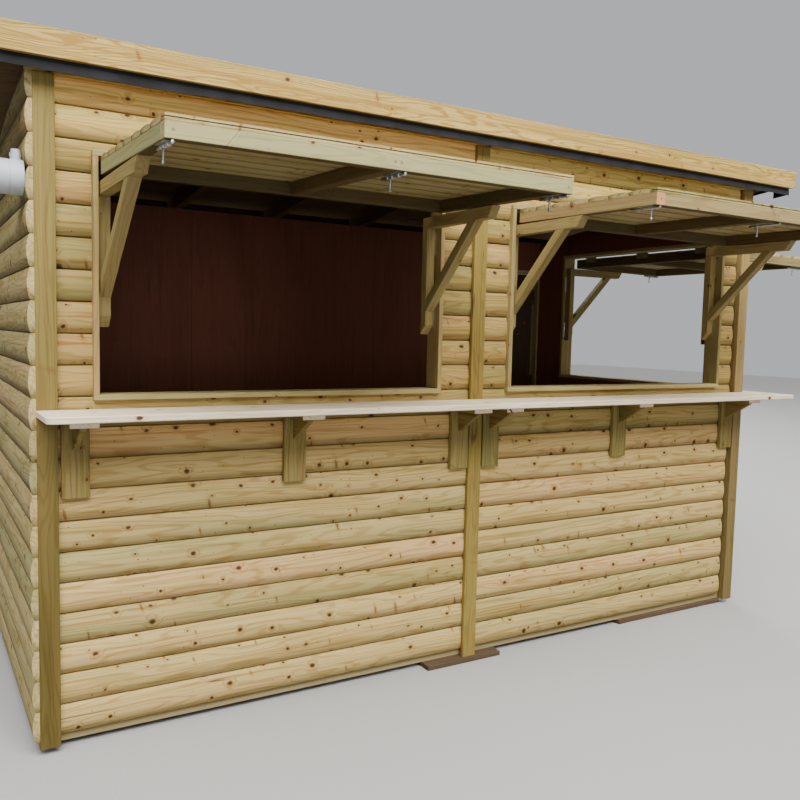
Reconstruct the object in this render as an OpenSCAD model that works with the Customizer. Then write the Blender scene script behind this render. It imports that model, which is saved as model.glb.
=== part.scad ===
/* [Building] */
// Width of the front wall over its corner trims
body_w = 3766; // [3500:1:4100]
// Depth of the building over its front and back trims
body_d = 1829; // [1780:1:2200]
// Height of the roof joists' underside at the front wall
eave_z = 2406; // [2340:1:2500]
// Fall of the roof to the back, as height over run
roof_fall = 0.108; // [0.02:0.001:0.14]

/* [Floor] */
// Thickness of the packers that the stall stands on
packer_t = 22; // [12:1:40]
// Width of a packer
packer_w = 95; // [70:1:140]
// Distance from the left corner to the middle front packer
mid_packer_x = 1635; // [1400:1:1700]
// Length of the middle front packer and of the hidden packers
mid_packer_l = 411; // [200:1:600]
// Distance that the middle front packer stands proud of the floor frame
packer_proud = 59; // [30:1:65]
// Length of the right front packer
right_packer_l = 816; // [600:1:900]
// Distance that the right front packer stands proud of the floor frame
right_packer_proud = 19; // [0:1:65]
// Height and width of the floor frame's timbers
floor_rail = 45; // [35:1:60]
// Largest clear gap between two floor joists
floor_bay = 400; // [300:1:440]
// Thickness of the floor deck
deck_t = 18; // [12:1:22]

/* [Walls] */
// Cover height of one log-lap board
lap_cover = 112; // [100:1:130]
// Greatest thickness of a log-lap board
lap_t = 24; // [19:1:28]
// Rise of a board's round face over its two edges
lap_round = 10; // [6:1:14]
// Height that the lowest board hangs below the floor frame's top
lap_drop = 16; // [5:1:30]
// Side of the square wall studs
stud = 45; // [38:1:50]
// Largest clear gap between two studs
stud_bay = 600; // [450:1:650]
// Thickness of the inside lining sheets
lining_t = 6; // [4:1:12]
// Width of the corner trims and of the middle cover strip
trim_w = 70; // [60:1:80]
// Thickness of the corner trims and of the middle cover strip
trim_t = 20; // [16:1:25]
// Distance from the left corner to the middle cover strip
mid_strip_x = 1836; // [1820:1:1860]
// Step from the trims' face back to the end grain of the left boards
side_board_setback = 2; // [1:1:6]
// Gap between the right front trim and the ends of the front boards
right_board_gap = 18; // [0:1:30]

/* [Serving openings] */
// Width of wall from the left corner to the left opening
left_margin = 211; // [190:1:320]
// Width of wall from the left opening to the middle cover strip
mid_margin_left = 183; // [120:1:260]
// Width of wall from the middle cover strip to the right opening
mid_margin_right = 164; // [120:1:260]
// Width of wall from the right opening to the right corner
right_margin = 234; // [190:1:320]
// Width of wall from the front corner to the side opening
side_margin_front = 215; // [190:1:320]
// Width of wall from the side opening to the back corner
side_margin_back = 365; // [190:1:450]
// Height of the front openings' sill above the ground
front_sill_z = 1292; // [1280:1:1320]
// Height of the left opening's head above the ground
left_head_z = 2128; // [2090:1:2150]
// Height of the right opening's head above the ground
right_head_z = 2122; // [2090:1:2150]
// Height of the side opening's head above the ground
side_head_z = 2093; // [2070:1:2120]
// Thickness of the boards that line an opening
liner_t = 20; // [16:1:25]

/* [Hatches] */
// Gap between a hatch and the opening's jambs
hatch_gap = 5; // [3:1:8]
// Height of the hatch rails
hatch_rail_h = 48; // [40:1:55]
// Width of the hatch rails
hatch_rail_w = 45; // [38:1:50]
// Greatest thickness of the hatch's boards
hatch_board_t = 18; // [14:1:22]
// Rise of a hatch board's round face over its two edges
hatch_round = 5; // [3:1:8]
// Angle by which the propped left hatch drops to the front
left_droop = 1.8; // [0:0.1:2.4]
// Angle by which the propped right hatch drops to the front
right_droop = 0.8; // [0:0.1:2]
// Angle by which the propped side hatch drops to the front
side_droop = 0.9; // [0:0.1:2]
// Radius of a hatch hinge's knuckle
hinge_r = 5; // [4:0.5:7]
// Thickness of the hinge leaves
hinge_t = 2.5; // [2:0.5:3]
// Height of the leaf on the hatch's back edge
hinge_leaf = 32; // [25:1:45]
// Length of a hatch hinge
hinge_l = 100; // [75:1:125]

/* [Gallows brackets] */
// Width of a bracket's timbers
bracket_w = 42; // [36:1:48]
// Depth of a bracket's post and thickness of its brace
bracket_t = 40; // [34:1:46]
// Height of a bracket's arm
arm_h = 48; // [40:1:55]
// Step from the trims' face back to a bracket's post
post_setback = 40; // [32:1:44]
// Gap between a bracket and the jamb, filled by its hinges
post_gap = 6; // [4:1:8]
// Height of a bracket's post below its arm
post_drop = 466; // [400:1:520]
// Height of the sloping cut at the foot of a post
post_cut = 42; // [0:1:60]
// Reach of a bracket's arm in front of the trims
arm_reach = 430; // [380:1:460]
// Extra reach of the left hatch's left arm and brace
left_arm_extra = 95; // [0:1:110]
// Extra reach of the right hatch's right arm and brace
right_arm_extra = 14; // [0:1:110]
// Set back of the arm's lower edge at its sloping end
arm_end_cut = 33; // [0:1:45]
// Reach of a brace in front of the trims, at its back edge
brace_reach = 262; // [220:1:290]
// Drop from the arm to the brace's upper edge on the post
brace_drop = 308; // [260:1:340]
// Height of a bracket's butt hinges
butt_h = 100; // [60:1:110]
// Distance from a bracket's arm down to its upper hinge
butt_end = 15; // [5:1:40]

/* [Counter] */
// Height of the counter's top above the ground
counter_z = 1241; // [1220:1:1250]
// Thickness of the counter planks
counter_t = 24; // [20:1:35]
// Depth of the front counter
counter_d = 244; // [220:1:330]
// Reach of the front counter past the left corner
counter_left = 1; // [0:1:40]
// Depth of the narrow shelf along the right wall
side_shelf_d = 122; // [80:1:200]
// Size of the clipped corner at the counter's left end
counter_clip_left = 18; // [5:1:60]
// Size of the clipped corner at the counter's right end
counter_clip_right = 5; // [2:1:60]
// Height of the cleat under the side shelf
cleat_h = 45; // [30:1:70]
// Width of a counter bracket's boards
cb_w = 95; // [80:1:110]
// Gap between a corner trim and the counter bracket beside it
cb_corner_gap = 10; // [0:1:40]
// Gap between the middle cover strip and the brackets beside it
cb_strip_gap = 6; // [2:1:20]
// Step of the middle brackets from the middle of their wall panel
cb_shift = 16; // [0:1:40]
// Thickness of a counter bracket's back board
cb_back_t = 22; // [18:1:27]
// Height of a counter bracket below the planks
cb_h = 294; // [260:1:340]
// Depth of a counter bracket's top board
cb_top_d = 178; // [160:1:215]
// Thickness of a counter bracket's top board
cb_top_t = 23; // [18:1:38]
// Thickness of a counter bracket's gusset
gusset_t = 22; // [18:1:38]
// Depth of a gusset along the top board
gusset_d = 152; // [110:1:160]
// Height of a gusset down the back board
gusset_h = 98; // [70:1:140]
// Height of a gusset's blunt front end
gusset_nose = 8; // [4:1:16]

/* [Roof] */
// Height of the roof joists
joist_h = 70; // [60:1:95]
// Width of the roof joists
joist_w = 45; // [38:1:50]
// Height of the shallow joists at the verges
verge_joist_h = 40; // [30:1:45]
// Largest distance between two joists' centres
joist_pitch = 600; // [400:1:700]
// Thickness of the roof boards
roof_board_t = 14; // [11:1:18]
// Thickness of the felt
felt_t = 3; // [2:1:5]
// Depth of the felt's drip below the roof joists' underside
felt_drip = 32; // [20:1:50]
// Length of the felt's full-depth flaps at the corners of the verges
felt_flap_l = 97; // [60:1:300]
// Height of the verge felt's lower edge over the roof joists' underside
felt_verge_lift = 15; // [0:1:25]
// Overhang of the roof to the front and back
eave_out = 75; // [50:1:120]
// Overhang of the roof to the left and right of the corner trims
verge_out = 273; // [150:1:320]
// Distance that the roof stops short of the fascia boards' ends
fascia_past = 35; // [0:1:60]
// Height of the fascia boards
fascia_h = 94; // [90:1:120]
// Thickness of the fascia boards
fascia_t = 20; // [16:1:25]
// Height of the clip at a fascia board's lower corners
fascia_clip = 14; // [0:1:30]
// Height of the batten over the front trims
eave_batten_h = 22; // [15:1:40]

/* [Back door] */
// Clear width of the door opening in the back wall
door_w = 700; // [600:1:760]
// Height of wall and roof joists' bearing over the door opening
door_head = 214; // [170:1:300]
// Gap round the door leaf
door_gap = 4; // [2:1:6]
// Thickness of the door's upright boards
door_board_t = 20; // [16:1:24]
// Height of the door's ledges
ledge_h = 110; // [90:1:140]
// Thickness of the door's ledges
ledge_t = 25; // [18:1:32]
// Height of the middle ledge's top above the ground
mid_ledge_z = 1240; // [1100:1:1300]

/* [Power inlet] */
// Radius of the round inlet housing
inlet_r = 59; // [50:1:70]
// Reach of the inlet housing from the wall
inlet_l = 96; // [70:1:120]
// Distance from the front trims to the inlet's centre
inlet_y = 75; // [70:1:200]
// Height of the inlet's centre
inlet_z = 2036; // [1900:1:2060]
// Depth of the inlet's base, up to its lid
inlet_base = 44; // [30:1:60]
// Radius of the cable gland's nut
inlet_gland_r = 19; // [14:1:24]
// Height of the cable gland over the housing
inlet_gland_h = 34; // [20:1:44]

/* [Hidden] */

// Heights from the ground up
floor_z = packer_t + floor_rail;
deck_z = floor_z + deck_t;
lap_z = floor_z - lap_drop;
lap_rows = ceil((eave_z + eave_out*roof_fall - lap_z)/lap_cover);
// Depths into a wall from its trims' face
lap_back = trim_t + lap_t;
stud_back = lap_back + stud;
wall_t = stud_back + lining_t;
// Outer face of the frame at the right, behind the right boards
frame_right_x = body_w - lap_t;
mid_joint_x = mid_strip_x + trim_w/2;
// Overhang of the felt at the verges
felt_out = verge_out - fascia_past;
counter_under_z = counter_z - counter_t;
side_sill_z = counter_z + liner_t + 1;
seat_gap = 0.3;
// Knuckle and back edge of a hatch in front of the liner
hinge_overlap = 0.5;
knuckle_y = -hinge_t - hinge_r + hinge_overlap;
hatch_back_y = 2*knuckle_y;
eps = 1;
big = 6000;
// Each opening is [distance along its wall, clear width, sill height, head height],
// and a serving opening also has its hatch's droop and its longest arm's extra reach
OPEN_LEFT = [left_margin, mid_strip_x - mid_margin_left - left_margin, front_sill_z, left_head_z,
    left_droop, left_arm_extra];
open_right_x = mid_strip_x + trim_w + mid_margin_right;
OPEN_RIGHT = [open_right_x, body_w - right_margin - open_right_x, front_sill_z, right_head_z,
    right_droop, right_arm_extra];
OPEN_SIDE = [side_margin_front, body_d - side_margin_back - side_margin_front, side_sill_z, side_head_z,
    side_droop, 0];
DOORWAY = [trim_w + liner_t, door_w, deck_z + liner_t, under_z(body_d) - door_head];
door_open_h = DOORWAY[3] - DOORWAY[2];
pine = [0.80, 0.74, 0.55];
pale_pine = [0.90, 0.84, 0.75];
trim_pine = [0.66, 0.57, 0.34];
rail_pine = [0.76, 0.76, 0.62];
fascia_pine = [0.80, 0.68, 0.44];
lining_brown = [0.28, 0.12, 0.09];
felt_black = [0.10, 0.10, 0.12];
zinc = [0.72, 0.73, 0.75];

// Height of the roof joists' underside at a distance behind the front trims
function under_z(y) = eave_z - roof_fall*y;
// Underside of a propped hatch at a distance in front of the trims
function hatch_under_z(o, y) = o[3] - (hatch_rail_h + hatch_board_t)/cos(o[4])
    + (y - hatch_back_y)*tan(o[4]);
function arm_top_z(o) = hatch_under_z(o, -arm_reach - o[5]) - seat_gap;
function post_top_z(o) = arm_top_z(o) - arm_h;
function post_foot_z(o) = post_top_z(o) - post_drop;
function hatch_w(o) = o[1] - 2*hatch_gap;
function hatch_l(o) = o[3] - o[2] - 2*hatch_gap;

module at_corner() translate([-body_w/2, -body_d/2, 0]) children();
module along_x(length) rotate([90, 0, 90]) linear_extrude(length) children();

// Places that look along each wall from outside, with x along it and y into it
module on_right() at_corner() translate([body_w + trim_t, 0, 0]) rotate([0, 0, 90]) children();
module on_left() at_corner() translate([-lap_back, body_d, 0]) rotate([0, 0, -90]) children();
module on_back() at_corner() translate([body_w, body_d, 0]) rotate([0, 0, 180]) children();

// A band that follows the roof, from an offset above the joists' underside
module roof_band(offset_z, height, y0, y1, x0, x1) {
    translate([x0, 0, 0])
        along_x(x1 - x0)
            polygon([[y0, under_z(y0) + offset_z], [y1, under_z(y1) + offset_z],
                [y1, under_z(y1) + offset_z + height], [y0, under_z(y0) + offset_z + height]]);
}

module below_roof() {
    at_corner()
        translate([-big/2, 0, 0])
            along_x(2*big)
                polygon([[-big/2, -eps], [big/2, -eps], [big/2, under_z(big/2)], [-big/2, under_z(-big/2)]]);
}

module opening_cut(o, edge, y0, y1) {
    translate([o[0] - edge, y0, o[2] - edge])
        cube([o[1] + 2*edge, y1 - y0, o[3] - o[2] + 2*edge]);
}

// Log-lap boarding in section, with its crowns at x = 0 and its rows up y
module lap_profile(rows, thick, rise) {
    r = (pow(lap_cover/2, 2) + pow(rise, 2))/(2*rise);
    translate([rise, 0])
        square([thick - rise, rows*lap_cover]);
    for (row = [0:rows - 1])
        translate([0, row*lap_cover])
            intersection() {
                translate([r, lap_cover/2])
                    circle(r, $fn = 180);
                square([thick, lap_cover]);
            }
}

module lap_wall(x0, x1) {
    translate([x0, trim_t, lap_z])
        along_x(x1 - x0)
            lap_profile(lap_rows, lap_t, lap_round);
}

module wall_sheet(x0, x1, z0, y0, y1) {
    translate([x0, y0, z0])
        cube([x1 - x0, y1 - y0, eave_z + eave_out - z0]);
}

// Studs, plates and the trimmers round the openings of one wall
module wall_frame(x0, x1, opens) {
    bays = ceil((x1 - x0 - stud)/(stud_bay + stud));
    pitch = (x1 - x0 - stud)/bays;
    difference() {
        union() {
            translate([x0, lap_back, deck_z])
                cube([x1 - x0, stud, stud]);
            for (i = [0:bays])
                wall_sheet(x0 + i*pitch, x0 + i*pitch + stud, deck_z, lap_back, stud_back);
            for (o = opens)
                trimmers(o);
        }
        for (o = opens)
            opening_cut(o, liner_t, lap_back - eps, stud_back + eps);
    }
}

module trimmers(o) {
    for (x = [o[0] - liner_t - stud, o[0] + o[1] + liner_t])
        wall_sheet(x, x + stud, deck_z, lap_back, stud_back);
    low = o[2] - liner_t - stud;
    if (low > deck_z)
        translate([o[0] - liner_t, lap_back, low])
            cube([o[1] + 2*liner_t, stud, stud]);
    translate([o[0] - liner_t, lap_back, o[3] + liner_t])
        cube([o[1] + 2*liner_t, stud, stud]);
}

module packers() {
    color(trim_pine)
        at_corner() {
            translate([mid_packer_x, lap_back - packer_proud, 0])
                cube([mid_packer_l, packer_w, packer_t]);
            translate([body_w - trim_w - right_packer_l, lap_back - right_packer_proud, 0])
                cube([right_packer_l, packer_w, packer_t]);
            translate([lap_back + packer_w, lap_back + packer_w, 0])
                cube([mid_packer_l, packer_w, packer_t]);
            translate([body_w/2 - packer_w, body_d/2 - packer_w/2, 0])
                cube([2*packer_w, packer_w, packer_t]);
            for (x = [packer_w, body_w/2 - mid_packer_l/2, body_w - packer_w - mid_packer_l])
                translate([x, body_d - lap_back - 2*packer_w, 0])
                    cube([mid_packer_l, packer_w, packer_t]);
        }
}

// Three long rails with short joists between them
module floor_frame() {
    bays = ceil((frame_right_x - floor_rail)/(floor_bay + floor_rail));
    pitch = (frame_right_x - floor_rail)/bays;
    mid_y = (body_d - floor_rail)/2;
    back_y = body_d - lap_back - floor_rail;
    joist_fit = 0.3;
    color(trim_pine)
        at_corner()
            translate([0, 0, packer_t]) {
                for (y = [lap_back, mid_y, back_y])
                    translate([0, y, 0])
                        cube([frame_right_x, floor_rail, floor_rail]);
                for (i = [0:bays], y = [lap_back, mid_y])
                    translate([i*pitch, y + floor_rail + joist_fit, 0])
                        cube([floor_rail, mid_y - lap_back - floor_rail - 2*joist_fit, floor_rail]);
            }
}

module floor_deck() {
    color(lining_brown)
        at_corner()
            translate([0, lap_back, floor_z])
                cube([frame_right_x, body_d - 2*lap_back, deck_t]);
}

module front_cladding_left() {
    color(pine)
        difference() {
            intersection() {
                at_corner() lap_wall(0, mid_joint_x);
                below_roof();
            }
            at_corner() opening_cut(OPEN_LEFT, liner_t, 0, lap_back + eps);
        }
}

module front_cladding_right() {
    color(pine)
        difference() {
            intersection() {
                at_corner() lap_wall(mid_joint_x, body_w - trim_w - right_board_gap);
                below_roof();
            }
            at_corner() opening_cut(OPEN_RIGHT, liner_t, 0, lap_back + eps);
        }
}

module right_cladding() {
    color(pine)
        difference() {
            intersection() {
                on_right() lap_wall(trim_t, body_d - trim_t);
                below_roof();
            }
            on_right() opening_cut(OPEN_SIDE, liner_t, 0, lap_back + eps);
        }
}

module left_cladding() {
    color(pine)
        intersection() {
            on_left() lap_wall(side_board_setback, body_d - side_board_setback);
            below_roof();
        }
}

module back_cladding() {
    color(pine)
        difference() {
            intersection() {
                on_back() lap_wall(lap_t, body_w);
                below_roof();
            }
            on_back() opening_cut(DOORWAY, liner_t, 0, lap_back + eps);
        }
}

module wall_framing() {
    inner = stud_back - lap_back;
    color(trim_pine) {
        intersection() {
            union() {
                at_corner() wall_frame(0, frame_right_x, [OPEN_LEFT, OPEN_RIGHT]);
                on_back() wall_frame(lap_t, body_w, [DOORWAY]);
                on_right() wall_frame(stud_back, body_d - stud_back, [OPEN_SIDE]);
                on_left() wall_frame(stud_back, body_d - stud_back, []);
            }
            below_roof();
        }
        at_corner()
            difference() {
                roof_band(-stud, stud, lap_back, body_d - lap_back, 0, frame_right_x);
                roof_band(-2*stud, 3*stud, stud_back, body_d - stud_back, inner, frame_right_x - inner);
            }
    }
}

module front_lining() {
    color(lining_brown)
        difference() {
            intersection() {
                at_corner() wall_sheet(stud, frame_right_x - stud, deck_z, stud_back, wall_t);
                below_roof();
            }
            at_corner() {
                opening_cut(OPEN_LEFT, liner_t, stud_back - eps, wall_t + eps);
                opening_cut(OPEN_RIGHT, liner_t, stud_back - eps, wall_t + eps);
            }
        }
}

module right_lining() {
    color(lining_brown)
        difference() {
            intersection() {
                on_right() wall_sheet(wall_t, body_d - wall_t, deck_z, stud_back, wall_t);
                below_roof();
            }
            on_right() opening_cut(OPEN_SIDE, liner_t, stud_back - eps, wall_t + eps);
        }
}

module left_lining() {
    color(lining_brown)
        intersection() {
            on_left() wall_sheet(wall_t, body_d - wall_t, deck_z, stud_back, wall_t);
            below_roof();
        }
}

module back_lining() {
    color(lining_brown)
        difference() {
            intersection() {
                on_back() wall_sheet(trim_w, body_w - stud, deck_z, stud_back, wall_t);
                below_roof();
            }
            on_back() opening_cut(DOORWAY, liner_t, stud_back - eps, wall_t + eps);
        }
}

module upright_trim(x) {
    translate([x, 0, packer_t])
        cube([trim_w, trim_t, eave_z - packer_t - eave_batten_h]);
}

module front_left_trim() color(trim_pine) at_corner() upright_trim(0);
module mid_cover_strip() color(trim_pine) at_corner() upright_trim(mid_strip_x);

// The right trim has a packing strip behind it that fills the corner
module front_right_trim() {
    color(trim_pine)
        at_corner() {
            upright_trim(body_w - trim_w);
            translate([body_w - trim_w, 0, packer_t])
                cube([trim_w - lap_t, lap_back, eave_z - packer_t - eave_batten_h]);
        }
}

module back_corner_trims() {
    color(trim_pine)
        intersection() {
            at_corner()
                for (x = [0, body_w - trim_w])
                    translate([x, body_d - trim_t, packer_t])
                        cube([trim_w, trim_t, eave_z]);
            below_roof();
        }
}

module opening_liner(o) {
    color(trim_pine)
        difference() {
            opening_cut(o, liner_t, 0, wall_t);
            opening_cut(o, 0, -eps, wall_t + eps);
        }
}

module opening_liner_left() at_corner() opening_liner(OPEN_LEFT);
module opening_liner_right() at_corner() opening_liner(OPEN_RIGHT);
module opening_liner_side() on_right() opening_liner(OPEN_SIDE);
module door_liner() on_back() opening_liner(DOORWAY);

// Deep joists over the building and a shallow one hung under the boards at each verge
module roof_joists() {
    y0 = -eave_out + fascia_t + felt_t;
    y1 = body_d + eave_out - fascia_t - felt_t;
    x0 = felt_t - felt_out;
    x1 = body_w + felt_out - felt_t - joist_w;
    bays = ceil((x1 - x0)/joist_pitch);
    color(trim_pine)
        at_corner()
            for (i = [0:bays]) {
                x = x0 + i*(x1 - x0)/bays;
                h = i > 0 && i < bays ? joist_h : verge_joist_h;
                roof_band(joist_h - h, h, y0, y1, x, x + joist_w);
            }
}

module roof_boards() {
    color(pine)
        at_corner()
            roof_band(joist_h, roof_board_t, -eave_out + fascia_t + felt_t,
                body_d + eave_out - fascia_t - felt_t, felt_t - felt_out, body_w + felt_out - felt_t);
}

// Felt over the boards, with a drip turned down all round, raised between the verges' corner flaps
module roof_felt() {
    y0 = -eave_out + fascia_t;
    y1 = body_d + eave_out - fascia_t;
    color(felt_black)
        at_corner()
            difference() {
                roof_band(-felt_drip, felt_drip + joist_h + roof_board_t + felt_t, y0, y1,
                    -felt_out, body_w + felt_out);
                roof_band(-felt_drip - eps, felt_drip + joist_h + roof_board_t + eps,
                    y0 + felt_t, y1 - felt_t, felt_t - felt_out, body_w + felt_out - felt_t);
                roof_band(-felt_drip - eps, felt_drip + felt_verge_lift + eps,
                    y0 + felt_flap_l, y1 - felt_flap_l, -felt_out - eps, body_w + felt_out + eps);
            }
}

// A fascia board with its lower corners clipped, from a place at its back face
module fascia(y) {
    length = body_w + 2*verge_out;
    color(fascia_pine)
        at_corner()
            translate([-verge_out, y, under_z(y - fascia_t)])
                rotate([90, 0, 0])
                    linear_extrude(fascia_t)
                        polygon([[0, fascia_h], [0, fascia_clip], [2*fascia_clip, 0],
                            [length - 2*fascia_clip, 0], [length, fascia_clip], [length, fascia_h]]);
}

module front_fascia() fascia(fascia_t - eave_out);
module back_fascia() fascia(body_d + eave_out);

module eave_batten() {
    color(trim_pine)
        at_corner()
            translate([-lap_t, 0, eave_z - eave_batten_h])
                difference() {
                    cube([body_w + lap_t, trim_t, eave_batten_h]);
                    translate([-eps, -eps, eave_batten_h - trim_t*roof_fall])
                        cube([body_w + lap_t + 2*eps, trim_t + 2*eps, eave_batten_h]);
                }
}

// A propped hatch in its own frame: back edge at y = 0, top at z = 0
module propped(o) {
    translate([o[0] + hatch_gap, hatch_back_y, o[3]])
        rotate([o[4], 0, 0])
            children();
}

module hatch_frame(o) {
    w = hatch_w(o);
    l = hatch_l(o);
    color(rail_pine)
        propped(o)
            translate([0, -l, -hatch_board_t - hatch_rail_h])
                difference() {
                    cube([w, l, hatch_rail_h]);
                    for (x = [hatch_rail_w, w/2 + hatch_rail_w/2])
                        translate([x, hatch_rail_w, -eps])
                            cube([w/2 - 1.5*hatch_rail_w, l - 2*hatch_rail_w, hatch_rail_h + 2*eps]);
                }
}

module hatch_boards(o) {
    l = hatch_l(o);
    rows = ceil(l/lap_cover);
    color(pine)
        propped(o)
            intersection() {
                translate([0, -l, 0])
                    mirror([0, 0, 1])
                        rotate([-90, 0, 0])
                            mirror([0, 1, 0])
                                along_x(hatch_w(o))
                                    lap_profile(rows, hatch_board_t, hatch_round);
                translate([-eps, -l, -big/2])
                    cube([hatch_w(o) + 2*eps, l, big]);
            }
}

module hatch_frame_left() at_corner() hatch_frame(OPEN_LEFT);
module hatch_frame_right() at_corner() hatch_frame(OPEN_RIGHT);
module hatch_frame_side() on_right() hatch_frame(OPEN_SIDE);
module hatch_boards_left() at_corner() hatch_boards(OPEN_LEFT);
module hatch_boards_right() at_corner() hatch_boards(OPEN_RIGHT);
module hatch_boards_side() on_right() hatch_boards(OPEN_SIDE);

// Post, arm and brace in side view, with x to the back and y up
module gallows_side(o, extra) {
    reach = arm_reach + extra;
    back = post_setback + bracket_t;
    arm_z = arm_top_z(o);
    post_z = post_top_z(o);
    foot_z = post_foot_z(o);
    brace_x = -brace_reach - extra;
    brace_z = post_z - brace_drop;
    slope = atan2(brace_drop, post_setback - brace_x);
    difference() {
        polygon([[-reach, arm_z], [back, arm_z], [back, foot_z], [post_setback, foot_z + post_cut],
            [post_setback, brace_z - bracket_t/cos(slope)], [brace_x - bracket_t/sin(slope), post_z],
            [-reach + arm_end_cut, post_z]]);
        polygon([[post_setback, post_z], [post_setback, brace_z], [brace_x, post_z]]);
    }
}

module gallows_bracket(o, right, extra) {
    x = right ? o[0] + o[1] - post_gap - bracket_w : o[0] + post_gap;
    color(rail_pine)
        translate([x, 0, 0])
            along_x(bracket_w)
                gallows_side(o, extra);
}

module gallows_bracket_1() at_corner() gallows_bracket(OPEN_LEFT, false, left_arm_extra);
module gallows_bracket_2() at_corner() gallows_bracket(OPEN_LEFT, true, 0);
module gallows_bracket_3() at_corner() gallows_bracket(OPEN_RIGHT, false, 0);
module gallows_bracket_4() at_corner() gallows_bracket(OPEN_RIGHT, true, right_arm_extra);
module gallows_bracket_5() on_right() gallows_bracket(OPEN_SIDE, false, 0);
module gallows_bracket_6() on_right() gallows_bracket(OPEN_SIDE, true, 0);

// Butt hinges of one hatch and of its two brackets
module hinges_of(o) {
    for (share = [0.12, 0.5, 0.88]) {
        x = share*o[1] - hinge_l/2;
        translate([o[0] + x, 0, o[3]]) {
            translate([0, -hinge_t, 0])
                cube([hinge_l, hinge_t, liner_t]);
            translate([0, knuckle_y, hinge_r])
                rotate([0, 90, 0])
                    cylinder(h = hinge_l, r = hinge_r, $fn = 32);
        }
        propped(o)
            translate([x - hatch_gap, 0, -hinge_leaf])
                cube([hinge_l, hinge_t, hinge_leaf + hinge_r]);
    }
    post_back = post_setback + bracket_t;
    knuckle_x = hinge_r + seat_gap;
    for (z = [post_top_z(o) - butt_h - butt_end, post_foot_z(o) + 2*butt_end]) {
        for (x = [o[0], o[0] + o[1] - post_gap])
            translate([x, post_setback, z])
                cube([post_gap, bracket_t + hinge_r, butt_h]);
        for (x = [o[0] + knuckle_x, o[0] + o[1] - knuckle_x])
            translate([x, post_back + hinge_r + seat_gap, z])
                cylinder(h = butt_h, r = hinge_r, $fn = 32);
    }
}

module butt_hinges() {
    color(zinc) {
        at_corner() {
            hinges_of(OPEN_LEFT);
            hinges_of(OPEN_RIGHT);
        }
        on_right() hinges_of(OPEN_SIDE);
    }
}

module counter_plank(outline) {
    color(pale_pine)
        at_corner()
            translate([0, 0, counter_under_z])
                linear_extrude(counter_t)
                    polygon(outline);
}

module counter_plank_left() {
    counter_plank([[-counter_left, 0], [-counter_left, counter_clip_left - counter_d],
        [counter_clip_left - counter_left, -counter_d], [mid_strip_x, -counter_d], [mid_strip_x, 0]]);
}

module counter_plank_right() {
    end_x = body_w + side_shelf_d;
    counter_plank([[mid_strip_x, 0], [mid_strip_x, -counter_d], [end_x - counter_clip_right, -counter_d],
        [end_x, counter_clip_right - counter_d], [end_x, 0]]);
}

// A narrow shelf along the right boards, on a cleat
module side_shelf() {
    color(pale_pine)
        at_corner() {
            translate([body_w, 0, counter_under_z])
                cube([side_shelf_d, body_d - trim_w, counter_t]);
            translate([body_w, trim_t, counter_under_z - cleat_h])
                cube([cb_back_t, body_d - trim_w - 2*trim_t, cleat_h]);
        }
}

module counter_bracket(x) {
    translate([x, 0, 0]) {
        translate([0, trim_t - cb_back_t, counter_under_z - cb_h])
            cube([cb_w, cb_back_t, cb_h - cb_top_t]);
        translate([0, -cb_top_d, counter_under_z - cb_top_t])
            cube([cb_w, cb_top_d + trim_t, cb_top_t]);
        translate([cb_w/2 - gusset_t/2, 0, counter_under_z - cb_top_t])
            along_x(gusset_t)
                polygon([[trim_t - cb_back_t, 0], [-gusset_d, 0], [-gusset_d, -gusset_nose],
                    [trim_t - cb_back_t, -gusset_h]]);
    }
}

module counter_brackets() {
    strip_end = mid_strip_x + trim_w;
    color(trim_pine)
        at_corner()
            for (x = [trim_w + cb_corner_gap, (trim_w + mid_strip_x - cb_w)/2 + cb_shift,
                    mid_strip_x - cb_strip_gap - cb_w, strip_end + cb_strip_gap,
                    (strip_end + body_w - trim_w - cb_w)/2 - cb_shift/2,
                    body_w - trim_w - cb_corner_gap - cb_w])
                counter_bracket(x);
}

// The door leaf: upright boards on three ledges inside
module back_door() {
    x0 = DOORWAY[0] + door_gap;
    w = door_w - 2*door_gap;
    z0 = DOORWAY[2] + door_gap;
    h = door_open_h - 2*door_gap;
    color(pine)
        on_back() {
            translate([x0, trim_t, z0])
                cube([w, door_board_t, h]);
            for (z = [z0 + ledge_h, mid_ledge_z - ledge_h, z0 + h - 2*ledge_h])
                translate([x0, trim_t + door_board_t, z])
                    cube([w, ledge_t, ledge_h]);
        }
}

module door_hinges() {
    color(zinc)
        on_back()
            for (z = [2*ledge_h, door_open_h/2, door_open_h - 2*ledge_h])
                translate([DOORWAY[0] + door_w, trim_t - hinge_r - seat_gap, DOORWAY[2] + z - butt_h/2]) {
                    translate([-door_gap, 0, 0])
                        cube([door_gap, hinge_r + seat_gap + door_board_t, butt_h]);
                    translate([-hinge_r - seat_gap, 0, 0])
                        cylinder(h = butt_h, r = hinge_r, $fn = 32);
                }
}

// Trims over and beside the doorway; the corner trim stands at its other side
module door_trims() {
    far_x = DOORWAY[0] + door_w + liner_t;
    foot_z = DOORWAY[2] - liner_t;
    head = DOORWAY[3] + liner_t;
    color(trim_pine)
        on_back() {
            translate([far_x, 0, foot_z])
                cube([trim_w, trim_t, head - foot_z]);
            translate([trim_w, 0, head])
                cube([far_x, trim_t, trim_w]);
        }
}

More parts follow.
